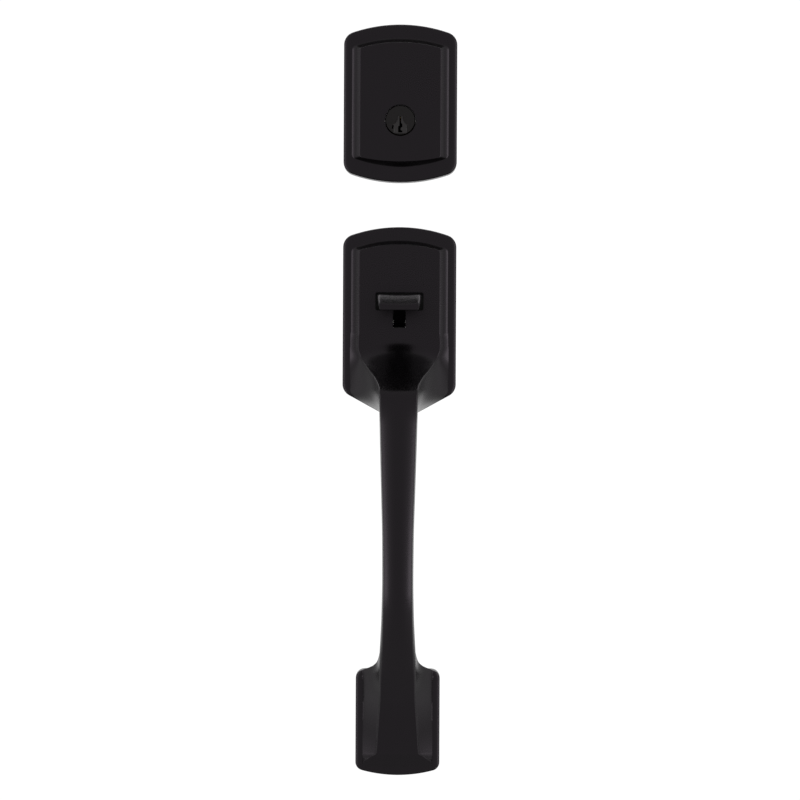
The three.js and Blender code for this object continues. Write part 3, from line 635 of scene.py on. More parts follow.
def pointed(half, point, corner, tip, slant, corner_steps=34):
    """Lower right half of the escutcheon's edge, from its point to the straight side."""
    fillet_x = half - corner
    fillet_z = point + fillet_x * math.tan(slant) + corner / math.cos(slant)
    tip_z = point + tip / math.cos(slant)
    nose_steps = 8
    nose = [(tip * math.sin(a), tip_z - tip * math.cos(a)) for a in np.linspace(0, slant, nose_steps)]
    turn = [
        (fillet_x + corner * math.sin(a), fillet_z - corner * math.cos(a))
        for a in np.linspace(slant, math.pi / 2, corner_steps + 1 - nose_steps)
    ]
    return np.array(nose + turn)


def rose_outline(inset):
    """The rose's edge, drawn in by an inset."""
    sizes = HALF - inset, ROSE["arc"], ROSE["corner"] - 0.8 * inset
    upper = crowned(ROSE["top"] - inset, *sizes)
    return closed_outline(upper, cupped(ROSE["bottom"] + inset, *sizes))


def escutcheon_outline(inset):
    """The escutcheon's edge, arched above and pointed below, drawn in by an inset."""
    corner = ESCUTCHEON["corner"] - 0.8 * inset
    point = ESCUTCHEON["point"] + inset / math.cos(ESCUTCHEON["slant"])
    upper = crowned(ESCUTCHEON["top"] - inset, HALF - inset, ESCUTCHEON["arc"], corner)
    lower = pointed(HALF - inset, point, corner, ESCUTCHEON["tip"], ESCUTCHEON["slant"])
    return closed_outline(upper, lower)


def foot_outline(inset):
    """The foot's edge, drawn in by an inset."""
    half, corner = FOOT["half"] - inset, FOOT["corner"] - 0.8 * inset
    upper = crowned(FOOT["top"] - inset, half, 600, corner)
    return closed_outline(upper, cupped(FOOT["bottom"] + inset, half, FOOT["arc"], corner))


def border_plate(name, outline_at):
    """A border casting: its outline rising from the door to a rounded rim and a flat front."""
    return loft(name, [raised(outline_at(inset), depth) for inset, depth in RIM])


def raised_panel(name, foot, edge):
    """A panel whose bevelled sides run from a foot outline in to an edge outline."""
    rings = [raised(foot, FLANGE - 2)]
    rings += [raised(foot + share * (edge - foot), depth) for share, depth in cove()]
    rings[0][:, [0, 2]] = rings[1][:, [0, 2]]
    return loft(name, rings)


def shrunk(outline, by):
    """An outline pulled in towards its middle by a distance at its sides and ends."""
    middle = (outline.max(0) + outline.min(0)) / 2
    half = (outline.max(0) - outline.min(0)) / 2
    return middle + (outline - middle) * (1 - by / half)


def drum(name, radius, y0, y1, x=0, z=0, segments=48):
    """A round bar along Y, for joining on or for boring out."""
    return lathe(name, [(radius, y0), (radius, y1)], (x, 0, z), "Y", segments)


def drums(name, radius, y0, y1, places, segments=48):
    """A round bar along Y at each of the (x, z) places."""
    return [drum(name, radius, y0, y1, x, z, segments) for x, z in places]


def either_side(x, z=0):
    """The two (x, z) places that lie so far left and right of the middle."""
    return (-x, z), (x, z)


# ------------------------------------------------------------------ the two castings
def panel_outline(half, corner, top, top_arc, bottom, bottom_arc):
    """The foot or the edge of a raised panel's bevel, arched above and below."""
    return closed_outline(crowned(top, half, top_arc, corner), cupped(bottom, half, bottom_arc, corner))


def make_rose():
    """The deadbolt's casting: a border, a raised panel, and the hole that the plug shows in."""
    foot = panel_outline(FOOT_HALF, 3.5, 191.4, 88, 111, 76)
    edge = panel_outline(PANEL_HALF, 2, 187.8, 88, 114.3, 120)
    rose = border_plate("rose", rose_outline)
    join(rose, raised_panel("panel", foot, edge))
    recess = slab("recess", rose_outline(WALL), 1, WALL - FLANGE)
    levels = [(foot, FLANGE - WALL - 1), (foot, FLANGE - WALL + 1), (edge, PANEL - WALL)]
    pocket = loft("pocket", [raised(shrunk(outline, WALL), depth) for outline, depth in levels])
    lip, mouth = 0.2, MOUTH_RADIUS
    profile = [
        (mouth + lip + 1, -PANEL - 1), (mouth + lip, -PANEL), (mouth + 0.15, -PANEL + lip * 0.6),
        (mouth, -PANEL + lip), (mouth, 0),
    ]
    hole = lathe("hole", profile, (0, 0, CYLINDER_Z), "Y", 96)
    cut(rose, recess, pocket, hole)
    finish_piece(rose, "trim", "matte_black", ["deadbolt_rose"], sharp=50)


# The handle's bar, from the panel through the neck and grip to the foot, as functions of height:
# how far its front and back stand out of the door, and its half widths at front, side and back.
FRONT = curve_through([
    (9, 15), (6, 15), (3, 15.25), (0, 16.3), (-2, 17.7), (-5, 21), (-10, 28), (-15, 36), (-20, 44.4),
    (-24, 51), (-27, 54.8), (-30, 56.6), (-44, 57.2), (-80, 58.5), (-115, 59), (-145, 58), (-155, 56),
    (-165, 52.5), (-175, 48), (-185, 42.8), (-195, 37.2), (-203, 32.6), (-210, 28.6), (-217, 25.4),
    (-224, 23.2), (-232, 21.2), (-240, 19), (-249, 16.5), (-258.5, 10),
])
BACK = curve_through([
    (0, 8), (-40, 8), (-43.5, 13), (-46, 23), (-50, 32), (-56, 39), (-65, 42.5), (-80, 44),
    (-115, 44.5), (-145, 44), (-160, 42), (-172, 38.5), (-182, 32.5), (-190, 24.5), (-196, 14),
    (-199, 8), (-260, 8),
])
# Height, half width of the front, and half width where the bar is widest.
HALF_WIDTHS = [
    (9, 24.6, 25.2), (4, 25, 25.8), (0, 25, 25.8), (-5, 23.6, 24.6), (-13, 18.6, 19.6),
    (-20, 13.4, 14.3), (-25, 11.4, 12.3), (-32, 10.6, 11.6), (-44, 10.2, 11.4), (-68, 9.6, 10.8),
    (-92, 9, 10.1), (-116, 8.4, 9.5), (-140, 8.1, 9.35), (-163, 8.4, 9.8), (-176, 8.6, 10.4),
    (-189, 8.9, 11), (-215, 10.2, 11.2), (-227, 11.1, 12.1), (-240, 12, 12.9), (-249, 12.6, 13.5),
    (-251.5, 16.2, 17), (-253.5, 19, 19.8), (-254.6, 20.5, 20.9), (-258.5, 21.2, 21.4),
]
FRONT_HALF = curve_through([(z, front) for z, front, _ in HALF_WIDTHS])
SIDE_HALF = curve_through([(z, side) for z, _, side in HALF_WIDTHS])
BACK_HALF = curve_through([
    (0, 30.4), (-26, 30.4), (-29, 29.2), (-31, 26.9), (-33, 23.6), (-35, 20), (-37, 16.4), (-39, 12.8),
    (-41, 9.6), (-43, 7.2), (-45, 6.2), (-50, 6.8), (-60, 8.2), (-80, 8.4), (-115, 8), (-145, 7.8),
    (-165, 8.4), (-178, 9.6), (-186, 11), (-192, 12.6), (-196, 16), (-199, 21.5), (-258.5, 21.5),
])
# How straight the sides run from their front edge down to the border (1) rather than hollow (0),
# and how far out of the door they meet it.
STRAIGHT = curve_through([
    (9, 0.6), (0, 0.65), (-10, 0.65), (-20, 0.5), (-30, 0.3), (-38, 0.6), (-46, 1), (-180, 1),
    (-190, 0.6), (-200, 0.5), (-207, 0.8), (-215, 1), (-260, 1),
])
SIDE_FOOT = curve_through([
    (0, FLANGE), (-26, FLANGE), (-30, 9.3), (-34, 8.9), (-60, 8.9), (-198, 8.9), (-203, 9.9),
    (-260, FLANGE),
])
# How far behind the front the bar is widest, how much later the scoop starts at the sides, and
# how far the front's middle stands over its edges.
EDGE_DROP = curve_through([
    (0, 0.9), (-12, 1.4), (-30, 1.7), (-40, 3.4), (-50, 6.5), (-178, 6.5), (-190, 4), (-202, 1.8),
    (-230, 1.5), (-250, 0.9), (-260, 0.2),
])
SCOOP_LAG = curve_through([(9, 9), (0, 8), (-12, 7), (-28, 0), (-260, 0)])
CROWN = curve_through([
    (0, 0), (-22, 0), (-34, 1), (-48, 2.2), (-186, 2.2), (-205, 0.9), (-222, 0.1), (-260, 0),
])
CROWN_RISE = 0.35
RIDGE_END, FOOT_END = -249, -258.5


def below_ridge(curve, z):
    """The curve, but straight over the small facet at the foot's lower end."""
    if z > RIDGE_END:
        return curve(z)
    share = (z - RIDGE_END) / (FOOT_END - RIDGE_END)
    return (1 - share) * curve(RIDGE_END) + share * curve(FOOT_END)


def handle_section(z):
    """The bar's section at a height, round from the middle of its front."""
    front, front_half, side_half = below_ridge(FRONT, z), FRONT_HALF(z), SIDE_HALF(z)
    back, back_half, crown, drop = BACK(z), BACK_HALF(z), CROWN(z), EDGE_DROP(z)

    def front_depth(x):
        lag = SCOOP_LAG(z) * (x / PANEL_HALF) ** 2
        depth = FRONT(min(z + lag, 9)) if z > RIDGE_END else front
        return depth + min(crown, CROWN_RISE) - crown * (x / front_half) ** 2

    across = front_half * np.sin(np.linspace(0, math.pi / 2, 15))
    right = [(x, front_depth(x)) for x in across]
    edge_depth = right[-1][1]
    side_depth = edge_depth - drop
    slope_in = min(0.9, drop * 0.6)
    lean = side_half - front_half
    shoulder = front_half + lean * 0.55, edge_depth - 0.1 * drop
    right += bend(right[-1], shoulder, (side_half, side_depth), 9)
    foot_depth = max(SIDE_FOOT(z), back + slope_in) if back < side_depth - 3 else back + 0.2
    foot_depth = min(foot_depth, side_depth - 0.05)
    straight = STRAIGHT(z)
    for share in np.linspace(0, 1, 17)[1:]:
        flared = straight * share + (1 - straight) * share**2.5
        depth = side_depth + (foot_depth - side_depth) * share
        right.append((side_half + (back_half - side_half) * flared, depth))
    last_x, last_depth = right[-1]
    right += bend((last_x, last_depth), (last_x - 0.05, back), (last_x - 1.2, back), 5)
    right += [((last_x - 1.2) * share, back) for share in (0.66, 0.33)]
    left = [(-x, depth) for x, depth in right[1:]][::-1]
    return [(x, -depth, z) for x, depth in right + [(0, back)] + left]


def handle_bar():
    """The bar, with its sections closest together where its shape changes fastest."""
    rows = [
        *np.arange(9, -64, -1.0), *np.arange(-65, -172, -3.0), *np.arange(-173, RIDGE_END + 1, -1.5),
        *np.arange(RIDGE_END, FOOT_END, -0.75), FOOT_END,
    ]
    return loft("bar", [handle_section(z) for z in rows])


POCKET = {"half": 23, "top": 57, "bottom": -26}
FOOT_POCKET = {"half": 12, "top": -206, "bottom": -242, "depth": 6.5}
SLOT = {"wide": 14.8, "top": 34, "shelf": 22.8, "narrow": 4, "bottom": 12.1, "corner": 1.4}
PLATE_SCREWS = [(-19, 50), (19, 50), (-17.5, -14), (17.5, -14)]
BRACKET_SCREWS = [(-13.5, 13), (13.5, 13)]
FOOT_POST_Z = -231


def rounded_rectangle(x0, x1, z0, z1, corner, steps=6):
    """A rectangle with rounded corners as (x, z) points."""
    points = []
    for cx, cz, start in ((x1 - corner, z1 - corner, 0), (x0 + corner, z1 - corner, 1),
                          (x0 + corner, z0 + corner, 2), (x1 - corner, z0 + corner, 3)):
        for a in np.linspace(0, math.pi / 2, steps + 1):
            angle = a + start * math.pi / 2
            points.append((cx + corner * math.cos(angle), cz + corner * math.sin(angle)))
    return points


def pocket_outline(pocket, corner):
    """A hollow's rounded rectangle, even about the middle."""
    half = pocket["half"]
    return rounded_rectangle(-half, half, pocket["bottom"], pocket["top"], corner)


def make_handle_casting():
    """One casting: escutcheon, neck, grip and foot, hollow behind its two borders."""
    casting = border_plate("handle", escutcheon_outline)
    foot_line, edge_line = (
        closed_outline(crowned(top, half, 88, corner), cupped(-1, half, 600, 0.5))
        for top, half, corner in ((66.6, FOOT_HALF, 3.5), (63.4, PANEL_HALF, 2))
    )
    panel = raised_panel("panel", foot_line, edge_line)
    join(casting, panel, border_plate("foot", foot_outline), handle_bar())
    floor = -PANEL + WALL
    pocket = pocket_outline(POCKET, 4)
    foot_pocket = pocket_outline(FOOT_POCKET, 3)
    wide = rounded_rectangle(-SLOT["wide"], SLOT["wide"], SLOT["shelf"], SLOT["top"], SLOT["corner"])
    narrow = rounded_rectangle(-SLOT["narrow"], SLOT["narrow"], SLOT["bottom"], SLOT["shelf"] + 3, 0.5)
    cut(
        casting,
        slab("pocket", pocket, floor, 2),
        slab("foot_pocket", foot_pocket, -FOOT_POCKET["depth"], 2),
        slab("wide", wide, -PANEL - 2, floor + 1),
        slab("narrow", narrow, -PANEL - 2, floor + 1),
    )
    screw_bosses = drums("boss", 3.6, floor - 0.5, -3.2, PLATE_SCREWS)
    spindle_boss = drum("boss", 7, floor - 0.5, -6)
    foot_boss = drum("boss", 6.5, -10, -1.5, 0, FOOT_POST_Z)
    join(casting, *screw_bosses, spindle_boss, foot_boss)
    plate_holes = drums("hole", 1.7, -8.5, 0, PLATE_SCREWS)
    bracket_holes = drums("hole", 1.6, -13.6, -11, BRACKET_SCREWS)
    bushing_hole = drum("hole", 5, -11.7, 0)
    foot_hole = drum("hole", 4.2, -8.3, 0, 0, FOOT_POST_Z)
    cut(casting, *plate_holes, *bracket_holes, bushing_hole, foot_hole)
    finish_piece(casting, "trim", "matte_black", ["handle_casting"], sharp=50)


# ------------------------------------------------------------------ the thumbpiece
# Along the pad, outwards from the stem: depth, half width, height of its rims, its underside.
PAD = [
    (18.6, 12.2, 30.9, 28.4), (19.2, 12.9, 31.3, 27.9), (20.5, 13.3, 31.5, 27.4),
    (24, 13.4, 31.6, 26.8), (28, 13.4, 31.7, 26.1), (32, 13.4, 31.7, 25.3), (36, 13.3, 31.7, 24.6),
    (39, 13.2, 31.7, 23.9), (41.5, 13.05, 31.6, 23.3), (43.3, 12.95, 31.4, 22.9),
    (44.6, 12.85, 30.9, 22.6), (46, 12.75, 30.1, 22.3), (47.5, 12.65, 29.2, 22),
    (49, 12.5, 28.3, 21.8), (50.5, 12.35, 27.3, 21.6), (51.8, 12.25, 26.4, 21.5),
    (52.6, 12.15, 25.8, 21.5), (53.2, 12, 25.1, 21.7), (53.4, 11.8, 24.6, 22),
]
# The stem's outline as (y, z), from the pad back to its arm over the lever.
STEM = [
    (-30, 27.6), (-19, 29), (-15, 25), (-11.5, 20.2), (-7, 20.1), (-4, 17.6), (-3.2, 12), (-1, 6.5),
    (-1, 4.4), (-3.6, 4.4), (-6.4, 11), (-9.6, 12.4), (-11.4, 15), (-15.4, 16.6), (-19, 21), (-30, 25),
]


def pad_section(depth, half, top, under):
    """The pad's section at a depth: dished between rounded rims, its sides leaning in."""
    dish = min(0.5, (top - under) * 0.15)
    rim, lean = 1.2, 0.12 * (top - under)
    flat = half - rim * 1.6
    right = [(x, top - dish * (1 - (x / flat) ** 2)) for x in np.linspace(0, flat, 9)]
    right += bend(right[-1], (half - rim, top + 0.05), (half - rim * 0.55, top - 0.1), 3)
    right += bend(right[-1], (half, top - 0.2), (half, top - 1.1), 5)
    right.append((half - lean * 0.8, under + 1.2))
    right += bend(right[-1], (half - lean, under), (half - lean - 1.6, under), 6)
    right.append(((half - lean - 1.6) * 0.5, under))
    left = [(-x, z) for x, z in right[1:]][::-1]
    return [(x, -depth, z) for x, z in right + [(0, under)] + left]


def make_thumbpiece():
    """The pad, its stem through the escutcheon, and the finger that lifts the spindle's lever."""
    pivot = [c / MM for c in JOINTS["thumb_press"]["pos_m"]]
    thumb = loft("thumbpiece_pad", [pad_section(*row) for row in PAD])
    stem = loft("stem", [[(x, y, z) for y, z in STEM] for x in (-3.5, 3.5)])
    crossbar = block("crossbar", (-3.5, -3.4, 4.4), (13, -0.9, 6.5))
    finger = block("finger", (3.3, -1.1, 4.4), (13, 6.2, 6.5))
    join(thumb, stem, crossbar, finger)
    cut(thumb, lathe("pivot_hole", [(1.65, -9), (1.65, 9)], (0, pivot[1], pivot[2]), "X", 32))
    round_edges(thumb, 0.35, 2, 50)
    settle(thumb)
    finish_piece(thumb, "thumb_lever", "matte_black", ["thumbpiece"], sharp=60)


# ------------------------------------------------------------------ the cylinder's face
def mirrored(half):
    """A closed outline from its right half, listed from top to bottom."""
    return half + [(-x, z) for x, z in half[::-1]]


BELL = mirrored([
    (1.6, 2.6), (1.75, 1.2), (2, 0), (2.5, -1.1), (3.2, -1.9), (3.9, -2.6), (3.95, -4), (3.95, -7.2),
    (3.4, -7.9),
])
BELL_MIDDLE = -3
KEYWAY = [
    (-0.5, 2.4), (0.5, 2.4), (0.5, -1.4), (1.3, -2.4), (1.3, -4), (0.3, -4.6), (0.3, -6), (1.3, -6.4),
    (1.3, -7.4), (-1.3, -7.4), (-1.3, -3.6), (-0.5, -3.4),
]


def lifted(outline, z):
    """An outline raised by a height."""
    return [(x, height + z) for x, height in outline]


def bell_ring(share, y):
    """The bell's outline grown about its middle, at a depth."""
    middle = CYLINDER_Z + BELL_MIDDLE
    return [(x * share, y, middle + (z - BELL_MIDDLE) * share) for x, z in BELL]


TOOL_SLOT = {"half": 0.45, "reach": 1.2, "corner": 0.3, "x": -4.6, "z": -4.1, "tilt": math.radians(14)}


def tool_slot():
    """The slanting slot beside the keyway, open to the rekeying tool."""
    half, reach, tilt = TOOL_SLOT["half"], TOOL_SLOT["reach"], TOOL_SLOT["tilt"]
    upright = rounded_rectangle(-half, half, -reach, reach, TOOL_SLOT["corner"], 4)
    points = []
    for x, z in upright:
        across = TOOL_SLOT["x"] + x * math.cos(tilt) + z * math.sin(tilt)
        points.append((across, CYLINDER_Z + TOOL_SLOT["z"] - x * math.sin(tilt) + z * math.cos(tilt)))
    return points


def make_plug_face():
    """The plug's face: a disc with a shallow bell-shaped lead-in, the keyway and the tool slot."""
    low, high = box_mm("plug_face")
    front, back = low[1], high[1]
    profile = [
        (0.02, front), (FACE_RADIUS - 0.08, front), (FACE_RADIUS, front + 0.08),
        (FACE_RADIUS, back), (0.02, back),
    ]
    face = lathe("plug_face_disc", profile, (0, 0, CYLINDER_Z), "Y", 128)
    bell_rows = [(1.12, -1), (1.1, 0), (0.98, 0.45), (0.93, 0.65)]
    bell = loft("bell", [bell_ring(share, front + depth) for share, depth in bell_rows])
    keyway = slab("keyway", lifted(KEYWAY, CYLINDER_Z), front - 1, back + 1)
    cut(face, bell, keyway, slab("tool", tool_slot(), front - 1, back + 1))
    round_edges(face, 0.1, 2, 50)
    settle(face)
    finish_piece(face, "cylinder_plug", "cylinder_face", ["plug_face"], sharp=40)


# ------------------------------------------------------------------ inner pieces
BODIES = {
    node: body
    for body, members in frame["record"]["behaviour"]["bodies"].items()
    for node in members
}
SLOTS = {subpart["node"]: subpart["material_slot"] for subpart in frame["record"]["subparts"]}
AXIS_RADIUS = 0.02  # a turned profile starts this far from its axis, so that its end closes
POST_X, POST_REACH = 17.5, 24
PIN_FIRST, PIN_PITCH, PIN_COUNT = -8.9, 3.81, 5
PIN_RADIUS, WELL_RADIUS, SPRING_RADIUS, SPRING_WIRE, SPRING_TURNS = 1.45, 1.6, 1.05, 0.2, 5
PLUG_RADIUS, PLUG_BACK, TOOL_DEPTH = 8.2, 12, 4
HOUSING_RADIUS, HOUSING_FRONT, HOUSING_BACK, TOWER_HALF, TOWER_TOP = 12, -11.7, 11, 4.5, 19.5
SPRING_FOOT = 13.1
TAILPIECE_HALF, TAILPIECE_THICK, TAILPIECE_END, SCORES = 2.8, 1.1, 62, (34, 40, 46, 52)
SPINDLE_RADIUS, SPINDLE_START, SPINDLE_END = 3.5, -11, 58
LATCH_WINDOW = {"left": -6, "right": 14.6, "bottom": -8, "top": 16.5}
SEAL_INSET, SEAL_WIDTH = 0.4, 2.4


def finish_inner(obj, node, sharp=35):
    """Finishes the piece made in place of a CAD node, with that node's body and material."""
    obj.name = node + "_finished"
    return finish_piece(obj, BODIES[node], SLOTS[node], [node], sharp)


def threads(radius, start, end, pitch=0.5, depth=0.22):
    """The stretch of a lathed profile that is threaded, as [radius, along] points."""
    step = math.copysign(pitch, end - start)
    points = []
    for along in np.arange(start, end, step):
        points += [(radius, along), (radius - depth, along + step / 2)]
    return points


def post_profile(front, shoulder):
    """A standoff: threaded to screw in, a shoulder, a shank, and a tapped hole in its end."""
    return [
        (AXIS_RADIUS, front), (2.1, front), *threads(2.4, front + 0.3, shoulder - 0.3),
        (2.1, shoulder), (3.3, shoulder), (3.5, shoulder + 0.2),
        (3.5, POST_REACH - 0.6), (3.4, POST_REACH - 0.2), (3.1, POST_REACH), (2.3, POST_REACH),
        *threads(2.1, POST_REACH - 0.5, POST_REACH - 10),
        (1.9, POST_REACH - 16), (AXIS_RADIUS, POST_REACH - 16.8),
    ]


FOOT_POST = [
    (AXIS_RADIUS, -8), (3.6, -8), *threads(4, -7.6, -1.9), (3.7, -1.5), (4.8, -1.5), (5, -1.3),
    (5, -0.2), (4.8, 0), (4, 0), (4, 18.4), (3.9, 18.8), (3.6, 19), (2.5, 19),
    *threads(2.3, 18.6, 8), (2.1, 1), (AXIS_RADIUS, 0.2),
]


def make_posts():
    """The four standoffs and the foot's post, tapped for the inside trim's screws."""
    for trim, front, shoulder, z in (("deadbolt", -6, -2, CYLINDER_Z), ("handle", -4.4, -1.4, 0)):
        for side, word in ((-1, "left"), (1, "right")):
            post = lathe("post", post_profile(front, shoulder), (side * POST_X, 0, z), "Y", 48)
            finish_inner(post, f"{trim}_post_{word}", 40)
    finish_inner(lathe("post", FOOT_POST, (0, 0, FOOT_POST_Z), "Y", 48), "foot_post", 40)


def cross_screw(node, x, z, seat, length, radius):
    """A pan-head screw with a cross recess, pointing out of the door from its seat."""
    head, tip = radius * 1.8, seat - length
    profile = [
        (AXIS_RADIUS, tip), (radius * 0.55, tip), *threads(radius, tip + 0.7, seat - 0.1, 0.45, 0.2),
        (radius, seat), (head - 0.15, seat), (head, seat + 0.15), (head, seat + 0.9),
        (head * 0.93, seat + 1.2), (head * 0.78, seat + 1.45), (head * 0.5, seat + 1.57),
        (AXIS_RADIUS, seat + 1.6),
    ]
    screw = lathe("screw", profile, (x, 0, z), "Y", 40)
    for wide, high in ((1.5, 0.32), (0.32, 1.5)):
        cut(screw, block("bar", (x - wide, seat + 0.8, z - high), (x + wide, seat + 2, z + high)))
    finish_inner(screw, node, 40)


def make_screws():
    """Four screws hold the handle's plate, and two the thumbpiece's bracket."""
    for n, (x, z) in enumerate(PLATE_SCREWS, 1):
        cross_screw(f"plate_screw_{n}", x, z, -1.4, 5.4, 1.5)
    for n, (x, z) in enumerate(BRACKET_SCREWS, 1):
        cross_screw(f"bracket_screw_{n}", x, z, -10.5, 2.6, 1.3)


def upright_coil(name, height, foot, steps_per_turn=20, sides=8):
    """A standing coil spring of round wire, with the middle of its foot at a point."""
    steps = SPRING_TURNS * steps_per_turn
    around = np.linspace(0, 2 * math.pi, sides, endpoint=False)
    rings = []
    for share in np.linspace(0, 1, steps + 1):
        angle = share * SPRING_TURNS * 2 * math.pi
        along = foot[2] + SPRING_WIRE + share * (height - 2 * SPRING_WIRE)
        reach = SPRING_RADIUS + SPRING_WIRE * np.cos(around)
        across, deep = foot[0] + reach * math.cos(angle), foot[1] + reach * math.sin(angle)
        rings.append(list(zip(across, deep, along + SPRING_WIRE * np.sin(around))))
    return loft(name, rings)


def make_springs():
    """The round-wire springs over the driver pins, which close as the pins rise."""
    foot, top = CYLINDER_Z + SPRING_FOOT, CYLINDER_Z + TOWER_TOP - 0.1
    for n in range(1, PIN_COUNT + 1):
        y = PIN_FIRST + (n - 1) * PIN_PITCH
        spring = upright_coil("coil", top - foot, (0, y, foot))
        finish_inner(spring, f"pin_spring_{n}", 60)
        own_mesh(spring)


def make_pins():
    """Key pins come to a blunt point; drivers are plain, with their edges broken."""
    for n in range(1, PIN_COUNT + 1):
        low, high = box_mm(f"key_pin_{n}")
        x, y = (low[:2] + high[:2]) / 2
        profile = [
            (AXIS_RADIUS, low[2]), (0.35, low[2]), (PIN_RADIUS - 0.05, low[2] + 1.25),
            (PIN_RADIUS, low[2] + 1.4), (PIN_RADIUS, high[2] - 0.35),
            (PIN_RADIUS * 0.8, high[2] - 0.12), (AXIS_RADIUS, high[2]),
        ]
        finish_inner(lathe("pin", profile, (x, y, 0), "Z", 32), f"key_pin_{n}")
        low, high = box_mm(f"driver_pin_{n}")
        profile = [
            (AXIS_RADIUS, low[2]), (PIN_RADIUS - 0.3, low[2]), (PIN_RADIUS, low[2] + 0.3),
            (PIN_RADIUS, high[2] - 0.15), (PIN_RADIUS - 0.15, high[2]), (AXIS_RADIUS, high[2]),
        ]
        finish_inner(lathe("pin", profile, (x, y, 0), "Z", 32), f"driver_pin_{n}")


def soften(obj, width_mm):
    """Breaks an inner piece's square edges for good."""
    return settle(round_edges(obj, width_mm, 2, 50))


def ring(name, inner, outer, y0, y1, z=0, edge=0.2, segments=96):
    """A ring about an axis along Y, its four edges broken."""
    made = drum(name, outer, y0, y1, 0, z, segments)
    cut(made, drum("hole", inner, y0 - 1, y1 + 1, 0, z, segments))
    return soften(made, edge)


def wells(bottom, top):
    """Cutting tools for the row of pin holes, between two heights over the cylinder's axis."""
    profile = [(WELL_RADIUS, CYLINDER_Z + bottom), (WELL_RADIUS, CYLINDER_Z + top)]
    rows = [PIN_FIRST + n * PIN_PITCH for n in range(PIN_COUNT)]
    return [lathe("well", profile, (0, y, 0), "Z", 32) for y in rows]


def make_housing():
    """The cylinder's housing, with a tower over the pins and an ear at each post."""
    z, start = CYLINDER_Z, HOUSING_FRONT
    housing = drum("housing", HOUSING_RADIUS, start, HOUSING_BACK, 0, z, 96)
    tower = block("tower", (-TOWER_HALF, start + 1, z + 4), (TOWER_HALF, HOUSING_BACK, z + TOWER_TOP))
    bridge = block("bridge", (-POST_X, -7, z - 4.5), (POST_X, -2.2, z + 4.5))
    join(housing, tower, bridge, *drums("ear", 4.8, -7, -2.2, either_side(POST_X, z)))
    bore = drum("bore", PLUG_RADIUS + 0.3, start - 1, HOUSING_BACK + 1, 0, z, 96)
    guards = drums("guard", 1.1, start - 1, start + 7, either_side(10.2, z), 24)
    studs = drums("stud", 2.6, -8, 0, either_side(POST_X, z))
    cut(housing, bore, *wells(6, TOWER_TOP + 1), *guards, *studs)
    finish_inner(soften(housing, 0.25), "cylinder_housing", 40)


def make_plug():
    """The brass plug: a collar behind its face, keyway, pin holes, clip groove and tail slot."""
    z, front = CYLINDER_Z, box_mm("plug")[0][1]
    plug = drum("plug", PLUG_RADIUS, front, PLUG_BACK, 0, z, 96)
    head = drum("head", FACE_RADIUS, front, HOUSING_FRONT - 1, 0, z, 96)
    collar = drum("collar", MOUTH_RADIUS - 0.2, HOUSING_FRONT - 1.4, HOUSING_FRONT - 0.45, 0, z, 96)
    join(plug, head, collar)
    groove = drum("groove", PLUG_RADIUS + 1, HOUSING_BACK + 0.15, HOUSING_BACK + 0.75, 0, z, 96)
    cut(groove, drum("core", PLUG_RADIUS - 0.7, HOUSING_BACK - 1, HOUSING_BACK + 2, 0, z, 96))
    keyway = slab("keyway", lifted(KEYWAY, z), front - 1, PLUG_BACK - 3.5)
    tool = slab("tool", tool_slot(), front - 1, front + TOOL_DEPTH)
    tail = block("tail", (-3.1, PLUG_BACK - 2.5, z - 1.3), (3.1, PLUG_BACK + 1, z + 1.3))
    cut(plug, keyway, groove, tail, tool, *wells(-1.6, 9))
    finish_inner(soften(plug, 0.15), "plug", 40)
    # The plug wears the brass with painted shade darkening it about its keyway and behind its face.
    plug.data.materials[0] = MATERIALS["brass_painted_shade"]


def make_tailpiece():
    """The flat blade that turns the bolt, scored where it can be snapped to length."""
    z, half, thick = CYLINDER_Z, TAILPIECE_HALF, TAILPIECE_THICK
    blade = block("blade", (-half, PLUG_BACK - 2.4, z - thick), (half, TAILPIECE_END, z + thick))
    for y in SCORES:
        cut(blade, block("score", (-half - 1, y, z + thick - 0.2), (half + 1, y + 0.6, z + thick + 1)))
    finish_inner(soften(blade, 0.25), "deadbolt_tailpiece", 40)


def make_bore_adapter():
    """The nylon ring that fills the door's bore round the cylinder."""
    finish_inner(ring("adapter", 22.5, 26.6, -0.2, 6, CYLINDER_Z, 0.5, 128), "bore_adapter")


def make_latch_pieces():
    """The half-round spindle in its bushing, and the thumbpiece's pin."""
    radius = SPINDLE_RADIUS
    profile = [
        (AXIS_RADIUS, SPINDLE_START), (radius - 0.3, SPINDLE_START), (radius, SPINDLE_START + 0.3),
        (radius, -5.75), (radius - 0.6, -5.75), (radius - 0.6, -5.05), (radius, -5.05),
        (radius, SPINDLE_END - 0.3), (radius - 0.3, SPINDLE_END), (AXIS_RADIUS, SPINDLE_END),
    ]
    spindle = lathe("spindle", profile, (0, 0, 0), "Y", 64)
    cut(spindle, block("half", (-5, 9, 1), (5, SPINDLE_END + 1, 5)))
    finish_inner(soften(spindle, 0.15), "latch_spindle", 40)
    finish_inner(ring("bushing", 3.6, 5, -11.2, -6), "spindle_bushing")
    pivot = [c / MM for c in JOINTS["thumb_press"]["pos_m"]]
    profile = [
        (AXIS_RADIUS, -7.2), (2, -7.2), (2.4, -6.9), (2.4, -6.1), (1.5, -6.1), (1.5, 12.1),
        (1.2, 12.4), (AXIS_RADIUS, 12.4),
    ]
    finish_inner(lathe("pin", profile, (0, pivot[1], pivot[2]), "X", 48), "thumb_pin")


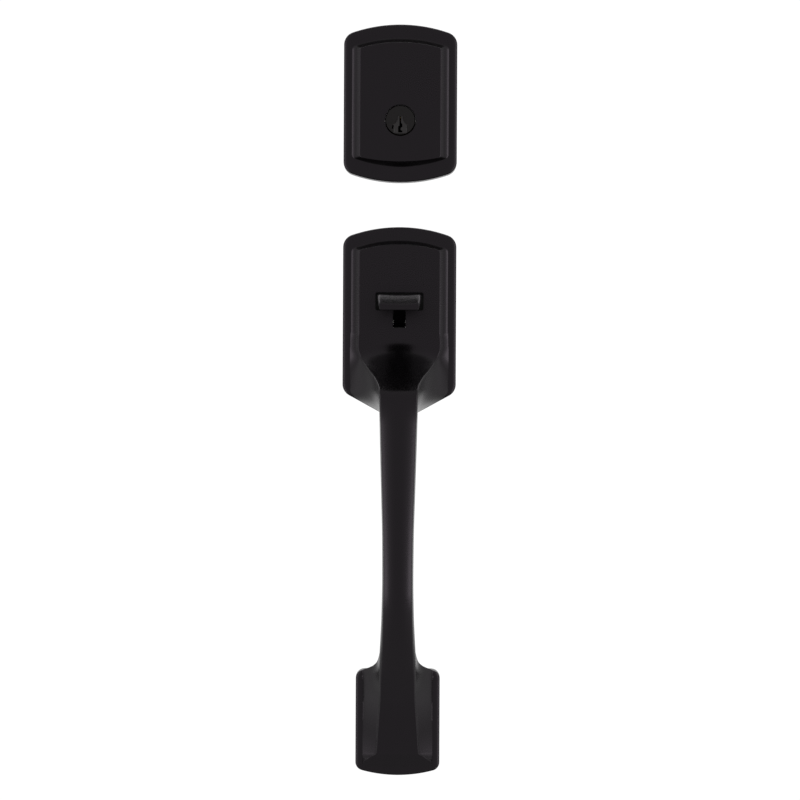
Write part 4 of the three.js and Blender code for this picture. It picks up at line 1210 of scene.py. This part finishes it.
def make_plates():
    """The stamped plates behind the two castings."""
    z = CYLINDER_Z
    outline = shrunk(shrunk(rose_outline(0), WALL), 3.5)
    plate = slab("plate", outline, -0.2, -2)
    tower = block("tower", (-5, -3, z), (5, 1, z + TOWER_TOP + 1.3))
    holes = drums("hole", 3.7, -3, 1, either_side(POST_X, z))
    cut(plate, drum("bore", 12.4, -3, 1, 0, z, 96), tower, *holes)
    finish_inner(soften(plate, 0.3), "deadbolt_plate", 40)
    plate = slab("plate", rounded_rectangle(-22.4, 22.4, -19, 55, 3.5), -3, -1.4)
    window = slab("window", rounded_rectangle(*LATCH_WINDOW.values(), 1), -4, 0)
    post_holes = drums("hole", 2.6, -4, 0, either_side(POST_X))
    cut(plate, window, *post_holes, *drums("hole", 1.8, -4, 0, PLATE_SCREWS, 32))
    finish_inner(soften(plate, 0.25), "handle_plate", 40)


def make_seals():
    """Foam seals, cut to the castings' outlines."""
    for node, outline_at in (("deadbolt_gasket", rose_outline), ("foot_gasket", foot_outline)):
        seal = slab("seal", outline_at(SEAL_INSET), 0, -GASKET)
        cut(seal, slab("inside", outline_at(SEAL_INSET + SEAL_WIDTH), 1, -GASKET - 1))
        finish_inner(seal, node)
    seal = slab("seal", escutcheon_outline(SEAL_INSET), 0, -GASKET)
    left, right = LATCH_WINDOW["left"] - 0.5, LATCH_WINDOW["right"] + 0.4
    window = rounded_rectangle(left, right, LATCH_WINDOW["bottom"] - 1, 13, 1)
    post_holes = drums("hole", 4, -2, 1, either_side(POST_X))
    cut(seal, slab("window", window, -2, 1), *post_holes, *drums("hole", 3.3, -2, 1, PLATE_SCREWS))
    finish_inner(seal, "handle_gasket")


# ------------------------------------------------------------------ the scene
def dress_nodes():
    """Gives every CAD node its material, and softly broken edges to all but the springs."""
    for subpart in frame["record"]["subparts"]:
        obj = NODES[subpart["node"]]
        obj.data.materials.clear()
        obj.data.materials.append(MATERIALS[subpart["material_slot"]])
        if "spring" not in obj.name:
            round_edges(obj, 0.15, 2, 50)


bpy.context.scene.view_settings.view_transform = "Standard"
make_camera()
make_lights()
make_world()
make_floor()
dress_nodes()
make_rose()
make_handle_casting()
make_thumbpiece()
make_plug_face()
make_housing()
make_plug()
make_tailpiece()
make_bore_adapter()
make_pins()
make_posts()
make_screws()
make_springs()
make_latch_pieces()
make_plates()
make_seals()
